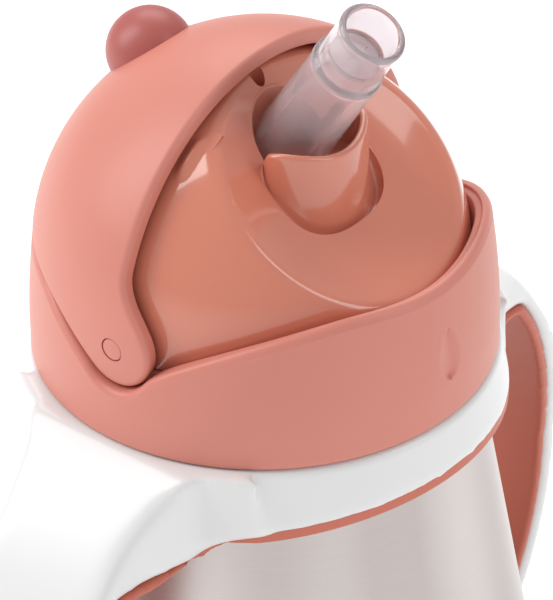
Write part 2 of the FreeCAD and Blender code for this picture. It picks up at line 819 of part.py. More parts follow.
def knob_shape(name, radius, start, length):
    """A short cylinder along the knob's axis, from a distance to the pivot centre."""
    lean = "knob_angle * 1 deg"
    post = cylinder(name, radius, length)
    return place(post, y="(%s) * sin(%s)" % (start, lean), z="pivot_height + (%s) * cos(%s)" % (start, lean),
                 axis=(1, 0, 0), angle="-knob_angle")


def hood_knob():
    lean = "knob_angle * 1 deg"
    head = place(ball("knob_ball", "knob_radius"), y="knob_reach * sin(%s)" % lean,
                 z="pivot_height + knob_reach * cos(%s)" % lean)
    room = place(ball("knob_seat", "hood_radius"), z="pivot_height")
    stem = knob_shape("knob_stem", "knob_stem_radius", "hood_radius - hood_wall + 0.2", "hood_wall + 2")
    finish(join("knob", cut("knob_head", head, room), stem), "hood_knob")


# --- seal, valve and straw ---------------------------------------------------------------------

def lid_gasket():
    finish(turned("gasket", [
        ("gasket_inner", "mouth_height"),
        ("neck_radius + 1.2", "mouth_height"),
        ("neck_radius + 1.2", "deck_low"),
        ("gasket_inner", "deck_low"),
    ]), "lid_gasket")


def vent_valve():
    """A mushroom valve: its disc closes the air hole from below, its bulb holds it above."""
    valve = turned("valve", [
        ("0", "deck_low - 1.2"),
        ("valve_disc_radius", "deck_low - 0.5"),
        ("valve_disc_radius", "deck_low"),
        ("valve_stem_radius", "deck_low"),
        ("valve_stem_radius", "deck_low + deck_thickness"),
        ("valve_stem_radius + 0.8", "deck_low + deck_thickness"),
        ("valve_stem_radius", "deck_low + deck_thickness + 2"),
        ("0", "deck_low + deck_thickness + 2"),
    ])
    finish(place(valve, y="valve_side"), "vent_valve")


def straw_stem():
    """The fixed root of the straw: upright through the lid's deck, then leaning to the socket."""
    deck_top = "deck_low + deck_thickness"
    upright = turned("stem_upright", [
        ("0", "deck_low - stem_tail"),
        ("straw_radius", "deck_low - stem_tail"),
        ("straw_radius", deck_top),
        ("stem_flange_radius", deck_top),
        ("stem_flange_radius", deck_top + " + stem_flange_height"),
        ("straw_radius", deck_top + " + stem_flange_height"),
        ("straw_radius", "straw_bend_height"),
        ("0", "straw_bend_height"),
    ])
    elbow = place(ball("stem_elbow", "straw_radius"), z="straw_bend_height")
    leaning = in_straw("stem_leaning", [
        ("0", "0"), ("straw_radius", "0"), ("straw_radius", "flex_start"), ("0", "flex_start")])
    way_up = place(cylinder("stem_way_up", "straw_bore", "straw_bend_height - deck_low + stem_tail + 5"),
                   z="deck_low - stem_tail - 5")
    way_elbow = place(ball("stem_way_elbow", "straw_bore"), z="straw_bend_height")
    way_out = in_straw("stem_way_out", [
        ("0", "0"), ("straw_bore", "0"), ("straw_bore", "flex_start + 5"), ("0", "flex_start + 5")])
    outside = join("stem_outside", upright, elbow, leaning)
    finish(cut("stem", outside, join("stem_way", way_up, way_elbow, way_out)), "straw_stem")


def straw_flex():
    """The soft fold of the straw, between its root and its mouthpiece."""
    finish(in_straw("flex", [
        ("straw_bore", "flex_start"),
        ("straw_radius", "flex_start"),
        ("straw_radius", "spout_start"),
        ("straw_bore", "spout_start"),
    ]), "straw_flex")


def straw_mouthpiece():
    """The end of the straw: a step to a slimmer tip with a rounded lip and a ledge inside."""
    finish(in_straw("spout", [
        ("straw_bore", "spout_start"),
        ("straw_radius", "spout_start"),
        ("straw_radius", "tip_start - 0.5"),
        ("tip_radius", "tip_start"),
        ("tip_radius", "tip_end - 0.8"),
        ("tip_radius - 0.5", "tip_end", ),
        ("tip_bore + 0.2", "tip_end"),
        ("tip_bore", "tip_end - 0.5"),
        ("tip_bore", "valve_height + valve_thickness"),
        ("straw_bore", "valve_height + valve_thickness"),
    ]), "straw_mouthpiece")


def straw_slit_valve():
    """A thin membrane across the tip, slit so that it opens only when the child sucks."""
    disc = in_straw("slit_disc", [
        ("0", "valve_height"),
        ("straw_bore", "valve_height"),
        ("straw_bore", "valve_height + valve_thickness"),
        ("0", "valve_height + valve_thickness"),
    ])
    lean = "straw_tilt * 1 deg"
    start = "(valve_height - 1)"
    cutters = []
    for name, long, wide in (("slit_one", "slit_length", "slit_width"), ("slit_two", "slit_width", "slit_length")):
        slit = box(name, long, wide, "valve_thickness + 2")
        place(slit, x="-(%s) / 2" % long,
              y="-(%s) * sin(%s) - (%s) / 2 * cos(%s)" % (start, lean, wide, lean),
              z="straw_bend_height + (%s) * cos(%s) - (%s) / 2 * sin(%s)" % (start, lean, wide, lean),
              axis=(1, 0, 0), angle="straw_tilt")
        cutters.append(slit)
    finish(cut("slit", disc, *cutters), "straw_slit_valve")


def straw_nozzle():
    """A hard nozzle under the deck that joins the straw's root to the long tube."""
    collar_top = "deck_low - stem_tail"
    finish(turned("nozzle", [
        ("nozzle_bore", collar_top + " - nozzle_collar_height - 9"),
        ("tube_bore", collar_top + " - nozzle_collar_height - 9"),
        ("tube_bore", collar_top + " - nozzle_collar_height"),
        ("nozzle_collar_radius", collar_top + " - nozzle_collar_height"),
        ("nozzle_collar_radius", collar_top),
        ("straw_bore", collar_top),
        ("straw_bore", "deck_low + deck_thickness"),
        ("nozzle_bore", "deck_low + deck_thickness"),
    ]), "straw_nozzle")


def straw_tube():
    """The long tube that reaches down into the cup."""
    top = "deck_low - stem_tail - nozzle_collar_height"
    finish(turned("tube", [
        ("tube_bore", "tube_low"),
        ("tube_radius", "tube_low"),
        ("tube_radius", top),
        ("tube_bore", top),
    ]), "straw_tube")


steel_outer_shell()
steel_inner_vessel()
steel_base_plate()
vacuum_getter()
foot_ring()
handle_ring()
handle_lining()
lid_base()
lid_dome()
pivot_pins()
hood()
hood_knob()
lid_gasket()
vent_valve()
straw_stem()
straw_flex()
straw_mouthpiece()
straw_slit_valve()
straw_nozzle()
straw_tube()

doc.recompute()
faults = [item.Name for item in doc.Objects if "Invalid" in item.State or "Error" in item.State]
for node in nodes:
    if node.Shape.isNull() or not node.Shape.isValid():
        faults.append(node.Label)
if faults:
    raise RuntimeError("failed: " + ", ".join(faults))

os.makedirs("parts", exist_ok=True)
for node in nodes:
    shape = node.Shape
    shape.exportStep("parts/%s.step" % node.Label)
    limits = shape.BoundBox
    print("%-20s solids %d volume %9.1f  x %6.1f..%6.1f y %6.1f..%6.1f z %6.1f..%6.1f" % (
        node.Label, len(shape.Solids), shape.Volume, limits.XMin, limits.XMax,
        limits.YMin, limits.YMax, limits.ZMin, limits.ZMax))
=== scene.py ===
"""Insulated toddler cup with a folding straw: the visible surfaces, finishes and studio.

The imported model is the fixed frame.  Each sub-assembly is a class that holds its sizes in
millimetres, builds its meshes in the cup's own frame and dresses them in its finishes.
"""

import logging
import math
from dataclasses import dataclass
from enum import Enum
from typing import Callable, Iterable, Sequence

import bmesh
import bpy
import numpy as np
from mathutils import Matrix, Vector


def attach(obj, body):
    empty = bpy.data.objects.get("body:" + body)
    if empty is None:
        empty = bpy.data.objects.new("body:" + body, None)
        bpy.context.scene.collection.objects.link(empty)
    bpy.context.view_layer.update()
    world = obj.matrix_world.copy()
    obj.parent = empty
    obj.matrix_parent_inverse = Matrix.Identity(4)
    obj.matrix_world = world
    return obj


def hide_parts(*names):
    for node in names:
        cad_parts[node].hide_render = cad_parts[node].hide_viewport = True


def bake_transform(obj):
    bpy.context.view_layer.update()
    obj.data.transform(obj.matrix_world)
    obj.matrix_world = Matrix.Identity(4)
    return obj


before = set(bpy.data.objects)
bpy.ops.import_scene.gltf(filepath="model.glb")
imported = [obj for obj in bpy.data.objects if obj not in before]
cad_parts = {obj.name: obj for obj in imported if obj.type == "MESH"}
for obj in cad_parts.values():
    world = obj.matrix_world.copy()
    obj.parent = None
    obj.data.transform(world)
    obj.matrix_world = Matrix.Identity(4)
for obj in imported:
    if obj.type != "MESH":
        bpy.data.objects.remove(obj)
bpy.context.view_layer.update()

MM = 0.001
PIVOT_HEIGHT = 120.25
LOG = logging.getLogger("straw_cup")

Array = np.ndarray


class Body(Enum):
    """The cup's moving bodies."""

    BOTTLE = "bottle"
    LID = "lid"
    HOOD = "hood"
    STRAW = "straw"


# --- small mathematics ---------------------------------------------------------------------


def linear(code: str) -> tuple[float, float, float, float]:
    """Turn an sRGB hex colour into linear light.

    Args:
        code: six hex digits.

    Returns:
        Linear red, green and blue, and an alpha of one.
    """
    levels = [int(code[i:i + 2], 16) / 255 for i in (0, 2, 4)]
    red, green, blue = (v / 12.92 if v <= 0.04045 else ((v + 0.055) / 1.055) ** 2.4 for v in levels)
    return red, green, blue, 1.0


def ease(at: Array, low: float, high: float) -> Array:
    """Rise smoothly from 0 at low to 1 at high: 3t^2 - 2t^3."""
    t = np.clip((np.asarray(at, float) - low) / (high - low), 0, 1)
    return t * t * (3 - 2 * t)


def hermite(start: Sequence[float], along: Sequence[float], end: Sequence[float],
            arriving: Sequence[float], count: int) -> Array:
    """Draw a cubic from start to end that leaves and arrives along the two given vectors."""
    t = np.linspace(0, 1, count)[:, None]
    a, b, c, d = (np.asarray(v, float) for v in (start, along, end, arriving))
    return (a * (1 + 2 * t) * (1 - t) ** 2 + c * t * t * (3 - 2 * t)
            + b * t * (1 - t) ** 2 - d * t * t * (1 - t))


def filleted(corners: Sequence[tuple[float, float, float]], steps: int = 6) -> Array:
    """Round the corners of a line.

    Each corner becomes a quadratic Bezier that starts and ends the given distance from it.

    Args:
        corners: rows of first coordinate, second coordinate and rounding distance.
        steps: points on each rounding.

    Returns:
        The rounded line as rows of two coordinates.
    """
    points = np.array([c[:2] for c in corners], float)
    rows = [points[:1]]
    for i in range(1, len(points) - 1):
        here, size = points[i], corners[i][2]
        back, on = points[i - 1] - here, points[i + 1] - here
        if size <= 0:
            rows.append(here[None])
            continue
        first = here + back / np.linalg.norm(back) * min(size, np.linalg.norm(back) / 2)
        last = here + on / np.linalg.norm(on) * min(size, np.linalg.norm(on) / 2)
        t = np.linspace(0, 1, steps)[:, None]
        rows.append(first * (1 - t) ** 2 + 2 * here * t * (1 - t) + last * t * t)
    rows.append(points[-1:])
    return np.concatenate(rows)


def divided(line: Array, longest: float) -> Array:
    """Put extra points on the long runs of a line, so that no run is longer than longest."""
    rows = [line[:1]]
    for a, b in zip(line[:-1], line[1:]):
        count = max(1, math.ceil(np.linalg.norm(b - a) / longest))
        t = np.linspace(0, 1, count + 1)[1:, None]
        rows.append(a * (1 - t) + b * t)
    return np.concatenate(rows)


def evenly(line: Array, count: int) -> Array:
    """Place count points at equal distances along a line in space."""
    steps = np.linalg.norm(np.diff(line, axis=0), axis=1)
    reached = np.concatenate([[0.0], np.cumsum(steps)])
    at = np.linspace(0, reached[-1], count)
    return np.stack([np.interp(at, reached, line[:, k]) for k in range(line.shape[1])], -1)


def slerp(first: Array, last: Array, t: Array) -> Array:
    """Turn unit vectors first into last along great circles, t from 0 to 1."""
    dot = np.clip(np.sum(first * last, -1, keepdims=True), -1, 1)
    angle = np.arccos(dot)
    safe = np.where(angle < 1e-6, 1.0, angle)
    a = np.where(angle < 1e-6, 1 - t, np.sin((1 - t) * angle) / np.sin(safe))
    b = np.where(angle < 1e-6, t, np.sin(t * angle) / np.sin(safe))
    mixed = a * first + b * last
    return mixed / np.linalg.norm(mixed, axis=-1, keepdims=True)


# --- meshes --------------------------------------------------------------------------------


@dataclass(frozen=True)
class Patch:
    """A grid of points in millimetres, rows by columns by xyz, closed round either way if so marked."""

    points: Array
    wrap_rows: bool = False
    wrap_columns: bool = False

    def faces(self, first: int) -> Array:
        """Number the grid's quads, the patch's first vertex being number first."""
        rows, columns = self.points.shape[:2]
        i, j = np.meshgrid(np.arange(rows if self.wrap_rows else rows - 1),
                           np.arange(columns if self.wrap_columns else columns - 1), indexing="ij")
        below, beside = (i + 1) % rows, (j + 1) % columns
        quads = np.stack([i * columns + j, below * columns + j,
                          below * columns + beside, i * columns + beside], -1)
        return quads.reshape(-1, 4) + first


def build(name: str, patches: Iterable[Patch], crease: float = 38) -> bpy.types.Object:
    """Make one closed mesh of several patches.

    Points that meet are merged, which closes seams and poles, and the faces are turned outwards.

    Args:
        name: the piece's name.
        patches: its grids.
        crease: edges sharper than this many degrees stay sharp in the shading.

    Returns:
        The new object, at the origin.
    """
    points, faces, first = [], [], 0
    for patch in patches:
        points.append(patch.points.reshape(-1, 3) * MM)
        faces.append(patch.faces(first))
        first += len(points[-1])
    mesh = bpy.data.meshes.new(name)
    mesh.from_pydata(np.concatenate(points).tolist(), [], np.concatenate(faces).tolist())
    return finished(name, mesh, crease)


def finished(name: str, mesh: bpy.types.Mesh, crease: float) -> bpy.types.Object:
    """Merge a mesh's doubles, face it outwards, shade it and link it to the scene."""
    work = bmesh.new()
    work.from_mesh(mesh)
    bmesh.ops.remove_doubles(work, verts=work.verts, dist=2e-6)
    bmesh.ops.dissolve_degenerate(work, edges=work.edges, dist=1e-7)
    bmesh.ops.recalc_face_normals(work, faces=work.faces)
    work.to_mesh(mesh)
    work.free()
    mesh.shade_smooth()
    mesh.set_sharp_from_angle(angle=math.radians(crease))
    piece = bpy.data.objects.new(name, mesh)
    bpy.context.scene.collection.objects.link(piece)
    return piece


def ring(radius: Array, height: Array, count: int) -> Array:
    """Turn a profile about Z: x = r sin a, y = -r cos a, the rows along the profile."""
    angle = np.linspace(0, 2 * np.pi, count, endpoint=False)
    radius, height = np.asarray(radius, float)[:, None], np.asarray(height, float)[:, None]
    return np.stack([radius * np.sin(angle), -radius * np.cos(angle),
                     np.broadcast_to(height, (len(height), count))], -1)


def turned(name: str, profile: Array, count: int = 192, crease: float = 38) -> bpy.types.Object:
    """Make a closed piece by turning a closed profile of radius and height about Z."""
    grid = ring(profile[:, 0], profile[:, 1], count)
    return build(name, [Patch(grid, wrap_rows=True, wrap_columns=True)], crease)


def applied(piece: bpy.types.Object) -> None:
    """Make a piece's modifiers part of its mesh."""
    bpy.context.view_layer.update()
    shaped = piece.evaluated_get(bpy.context.evaluated_depsgraph_get())
    mesh = bpy.data.meshes.new_from_object(shaped)
    piece.modifiers.clear()
    old, piece.data = piece.data, mesh
    bpy.data.meshes.remove(old)


def carve(piece: bpy.types.Object, cutter: bpy.types.Object, crease: float = 38) -> None:
    """Cut one closed mesh out of another and drop the cutter."""
    boolean = piece.modifiers.new("carve", "BOOLEAN")
    boolean.object, boolean.operation, boolean.solver = cutter, "DIFFERENCE", "EXACT"
    applied(piece)
    bpy.data.objects.remove(cutter)
    piece.data.set_sharp_from_angle(angle=math.radians(crease))


def from_node(name: str, node: str, voxel: float, rounds: int,
              zone: Callable[[Array], Array] | None = None) -> bpy.types.Object:
    """Give a moulding its soft edges, starting from its machined form.

    The node's mesh is merged, rebuilt in voxels and relaxed: each round moves every point
    half way to the mean of its neighbours, which rounds an edge by about one voxel.

    Args:
        name: the new piece's name.
        node: the node that it copies and replaces.
        voxel: the voxel's size in millimetres.
        rounds: how many times it is relaxed.
        zone: weights of the part that is relaxed further, if any.

    Returns:
        The new piece.
    """
    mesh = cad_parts[node].data.copy()
    mesh.materials.clear()
    piece = finished(name, mesh, 180)
    remesh = piece.modifiers.new("voxels", "REMESH")
    remesh.mode, remesh.voxel_size, remesh.use_smooth_shade = "VOXEL", voxel * MM, True
    relax = piece.modifiers.new("relax", "SMOOTH")
    relax.factor, relax.iterations = 0.5, rounds
    applied(piece)
    if zone is not None:
        relax_zone(piece, zone)
    piece.data.shade_smooth()
    return piece


def relax_zone(piece: bpy.types.Object, zone: Callable[[Array], Array], rounds: int = 70) -> None:
    """Relax part of a piece further.

    Args:
        piece: the piece.
        zone: gives a weight from 0 to 1 for points in millimetres.
        rounds: how many times it is relaxed where the weight is 1.
    """
    flat = np.empty(len(piece.data.vertices) * 3)
    piece.data.vertices.foreach_get("co", flat)
    tenths = np.round(zone(flat.reshape(-1, 3) / MM) * 10)
    group = piece.vertex_groups.new(name="relaxed")
    for level in range(1, 11):
        group.add(np.flatnonzero(tenths == level).tolist(), level / 10, "REPLACE")
    relax = piece.modifiers.new("relax", "SMOOTH")
    relax.vertex_group, relax.factor, relax.iterations = group.name, 0.5, rounds
    applied(piece)


# --- finishes ------------------------------------------------------------------------------


def add(tree: bpy.types.NodeTree, kind: str, settings: dict | None = None,
        links: dict | None = None) -> bpy.types.Node:
    """Add a node with its settings and links.

    Args:
        tree: the material's node tree.
        kind: the node's type name.
        settings: attribute names, or socket names starting with "in:", and their values.
        links: input socket names and the output sockets that feed them.

    Returns:
        The node.
    """
    node = tree.nodes.new(kind)
    for key, value in (settings or {}).items():
        if key.startswith("in:"):
            node.inputs[key[3:]].default_value = value
        else:
            setattr(node, key, value)
    for key, source in (links or {}).items():
        tree.links.new(source, node.inputs[key])
    return node


def per_metre(size: float) -> float:
    """The scale that gives a pattern this size in millimetres on Object coordinates."""
    return 1 / (size * MM)


def new_tree(name: str) -> tuple[bpy.types.Material, bpy.types.NodeTree]:
    """Start an empty node material."""
    material = bpy.data.materials.new(name)
    material.use_nodes = True
    material.node_tree.nodes.clear()
    return material, material.node_tree


@dataclass(frozen=True)
class Moulded:
    """An injection-moulded plastic with a slight flow mottle and a fine grain.

    The mottle, tens of millimetres wide, keeps a large face from looking flat; the grain from
    the mould's surface breaks up its reflections.
    """

    name: str
    colour: str
    mottle_colour: str
    roughness: float
    grain: float
    grain_depth: float
    coat: float = 0.0
    coat_roughness: float = 0.1
    ior: float = 1.49
    glow: float = 0.0

    def make(self) -> bpy.types.Material:
        """Build the material."""
        material, tree = new_tree(self.name)
        place = add(tree, "ShaderNodeTexCoord")
        mottle = add(tree, "ShaderNodeTexNoise",
                     {"in:Scale": per_metre(28), "in:Detail": 2.0, "in:Roughness": 0.5},
                     {"Vector": place.outputs["Object"]})
        colour = add(tree, "ShaderNodeMix", {"data_type": "RGBA"}, {"Factor": mottle.outputs["Fac"]})
        colour.inputs[6].default_value = linear(self.colour)
        colour.inputs[7].default_value = linear(self.mottle_colour)
        grain = add(tree, "ShaderNodeTexNoise",
                    {"in:Scale": per_metre(self.grain), "in:Detail": 3.0, "in:Roughness": 0.6},
                    {"Vector": place.outputs["Object"]})
        rough = add(tree, "ShaderNodeMapRange",
                    {"in:To Min": self.roughness * 0.88, "in:To Max": self.roughness * 1.12},
                    {"Value": grain.outputs["Fac"]})
        bump = add(tree, "ShaderNodeBump",
                   {"in:Strength": 0.35, "in:Distance": self.grain_depth * MM},
                   {"Height": grain.outputs["Fac"]})
        shader = add(tree, "ShaderNodeBsdfPrincipled",
                     {"in:IOR": self.ior, "in:Coat Weight": self.coat,
                      "in:Coat Roughness": self.coat_roughness,
                      "in:Subsurface Weight": self.glow, "in:Subsurface Scale": 1.2 * MM,
                      "in:Subsurface Radius": (1.0, 0.5, 0.35)},
                     {"Base Color": colour.outputs[2], "Roughness": rough.outputs["Result"],
                      "Normal": bump.outputs["Normal"]})
        add(tree, "ShaderNodeOutputMaterial", None, {"Surface": shader.outputs["BSDF"]})
        return material


@dataclass(frozen=True)
class BrushedSteel:
    """Stainless steel 304, polished on a lathe with a belt.

    The scratches run round the cup, so a lamp's reflection is drawn out into upright bands.
    """

    name: str
    # colour and shade are the light and dark tones of the painted reflection bands and of the scratches.
    colour: str = "D6CFCC"
    shade: str = "B3AAA8"
    roughness: float = 0.3
    scratch: float = 0.35
    anisotropy: float = 0.75

    def make(self) -> bpy.types.Material:
        """Build the material."""
        material, tree = new_tree(self.name)
        place = add(tree, "ShaderNodeTexCoord")
        # The true scratches are 0.02 mm apart; they are drawn 0.35 mm apart so that they show.
        squeeze = add(tree, "ShaderNodeMapping", {"in:Scale": (0.04, 0.04, 1.0)},
                      {"Vector": place.outputs["Object"]})
        scratches = add(tree, "ShaderNodeTexNoise",
                        {"in:Scale": per_metre(self.scratch), "in:Detail": 4.0, "in:Roughness": 0.7},
                        {"Vector": squeeze.outputs["Vector"]})
        rough = add(tree, "ShaderNodeMapRange",
                    {"in:To Min": self.roughness * 0.75, "in:To Max": self.roughness * 1.3},
                    {"Value": scratches.outputs["Fac"]})
        # Soft upright bands of painted reflection, about 20 mm wide, and fine lines round the cup that catch
        # the light.
        drawn = add(tree, "ShaderNodeMapping", {"in:Scale": (1.0, 1.0, 0.04)},
                    {"Vector": place.outputs["Object"]})
        painted_reflection_bands = add(tree, "ShaderNodeTexNoise", {"in:Scale": per_metre(20), "in:Detail": 0.0},
                    {"Vector": drawn.outputs["Vector"]})
        spread = add(tree, "ShaderNodeMapRange",
                     {"in:From Min": 0.34, "in:From Max": 0.66, "in:To Max": 0.75},
                     {"Value": painted_reflection_bands.outputs["Fac"]})
        lines = add(tree, "ShaderNodeMath", {"operation": "MULTIPLY_ADD"},
                    {0: scratches.outputs["Fac"], 2: spread.outputs["Result"]})
        lines.inputs[1].default_value = 0.3
        # The tone mixes shade and colour by the scratches and the painted reflection bands.
        tone = add(tree, "ShaderNodeMix", {"data_type": "RGBA"}, {"Factor": lines.outputs["Value"]})
        tone.inputs[6].default_value = linear(self.shade)
        tone.inputs[7].default_value = linear(self.colour)
        bump = add(tree, "ShaderNodeBump", {"in:Strength": 0.18, "in:Distance": 0.02 * MM},
                   {"Height": scratches.outputs["Fac"]})
        round_axis = add(tree, "ShaderNodeTangent", {"direction_type": "RADIAL", "axis": "Z"})
        shader = add(tree, "ShaderNodeBsdfPrincipled",
                     {"in:Metallic": 1.0, "in:Anisotropic": self.anisotropy},
                     {"Base Color": tone.outputs[2], "Roughness": rough.outputs["Result"],
                      "Normal": bump.outputs["Normal"],
                      "Tangent": round_axis.outputs["Tangent"]})
        add(tree, "ShaderNodeOutputMaterial", None, {"Surface": shader.outputs["BSDF"]})
        return material


@dataclass(frozen=True)
class ClearSilicone:
    """Liquid silicone rubber, cast in a polished mould: clear with a faint milky bloom."""

    name: str
    tint: str
    milk: float
    roughness: float = 0.07
    ior: float = 1.41

    def make(self) -> bpy.types.Material:
        """Build the material."""
        material, tree = new_tree(self.name)
        place = add(tree, "ShaderNodeTexCoord")
        flow = add(tree, "ShaderNodeTexNoise",
                   {"in:Scale": per_metre(7), "in:Detail": 2.0},
                   {"Vector": place.outputs["Object"]})
        bump = add(tree, "ShaderNodeBump", {"in:Strength": 0.25, "in:Distance": 0.25 * MM},
                   {"Height": flow.outputs["Fac"]})
        rough = add(tree, "ShaderNodeMapRange",
                    {"in:To Min": self.roughness * 0.7, "in:To Max": self.roughness * 1.4},
                    {"Value": flow.outputs["Fac"]})
        shader = add(tree, "ShaderNodeBsdfPrincipled",
                     {"in:Base Color": linear(self.tint), "in:IOR": self.ior,
                      "in:Transmission Weight": 1.0 - self.milk},
                     {"Normal": bump.outputs["Normal"], "Roughness": rough.outputs["Result"]})
        add(tree, "ShaderNodeOutputMaterial", None, {"Surface": shader.outputs["BSDF"]})
        return material


# Satin polypropylene of the lid and the hood: a spark-eroded mould gives a soft, even sheen.
SATIN_TERRACOTTA = Moulded("satin_polypropylene_terracotta", "D88879", "D28272", 0.42, 0.35, 0.02, ior=1.49)
# Polished ABS of the dome: a mirror-finished mould gives sharp softbox reflections.
GLOSS_TERRACOTTA = Moulded("polished_abs_terracotta", "D9846C", "D37E66", 0.14, 2.5, 0.004, coat=0.6,
                           coat_roughness=0.04, ior=1.53)
# Matt polypropylene of the lining: its fine mould grain spreads the light.
MATT_LINING = Moulded("matt_polypropylene_lining", "CB705B", "C56A55", 0.48, 0.4, 0.02, ior=1.49)
# Satin ABS of the knob: a dusty rose with a soft highlight.
ROSE_KNOB = Moulded("satin_abs_dusty_rose", "B45F58", "AD5953", 0.4, 0.4, 0.015, ior=1.52)
# Semi-gloss ABS of the collar: clean white with a broad soft highlight.
WHITE_SHELL = Moulded("semi_gloss_abs_white", "E9E9E9", "E6E6E6", 0.3, 0.6, 0.01, coat=0.2,
                      coat_roughness=0.2,
                      ior=1.52)
# Grey silicone of the foot and the gasket: dull, with a faint bloom.
GREY_SILICONE = Moulded("moulded_silicone_grey", "8F8D8B", "898785", 0.6, 0.5, 0.03, ior=1.41)
# Clear silicone of the straw, a little pink where it is thick.
STRAW_SILICONE = ClearSilicone("cast_silicone_clear", "FAF1F4", 0.2)
# Milky silicone of the membrane and the vent valve.
MILKY_SILICONE = ClearSilicone("cast_silicone_milky", "F6ECEE", 0.35, 0.2)
# Clear polypropylene of the hidden tube and nozzle.
CLEAR_PLASTIC = ClearSilicone("extruded_polypropylene_clear", "F4F4F2", 0.25, 0.15, 1.49)
# Steel of the body, belt-polished round the cup; its colour carries painted reflection bands.
BODY_STEEL = BrushedSteel("belt_polished_stainless_steel")
# Steel of the inside, electropolished: smoother and without a grain; its colour carries painted reflection
# bands.
INSIDE_STEEL = BrushedSteel("electropolished_stainless_steel", "D2D0CE", "C4C2C0", 0.22, 0.9, 0.2)


class Finishes:
    """Makes each finish once and puts it on pieces."""

    def __init__(self) -> None:
        """Start with none made."""
        self.made: dict[str, bpy.types.Material] = {}

    def dress(self, piece: bpy.types.Object, finish: Moulded | BrushedSteel | ClearSilicone) -> None:
        """Give a piece one finish all over."""
        if finish.name not in self.made:
            self.made[finish.name] = finish.make()
        piece.data.materials.clear()
        piece.data.materials.append(self.made[finish.name])


FINISHES = Finishes()


def settle(piece: bpy.types.Object, body: Body, finish: Moulded | BrushedSteel | ClearSilicone,
           nodes: Sequence[str] = ()) -> bpy.types.Object:
    """Dress a piece, set it on its body and hide the nodes that it replaces.

    Args:
        piece: the new piece.
        body: the body that it rides on.
        finish: its finish.
        nodes: the nodes that it replaces.

    Returns:
        The piece.
    """
    FINISHES.dress(piece, finish)
    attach(piece, body.value)
    if nodes:
        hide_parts(*nodes)
    LOG.info("%s: %d faces on %s", piece.name, len(piece.data.polygons), body.value)
    return piece


# --- the straw -----------------------------------------------------------------------------


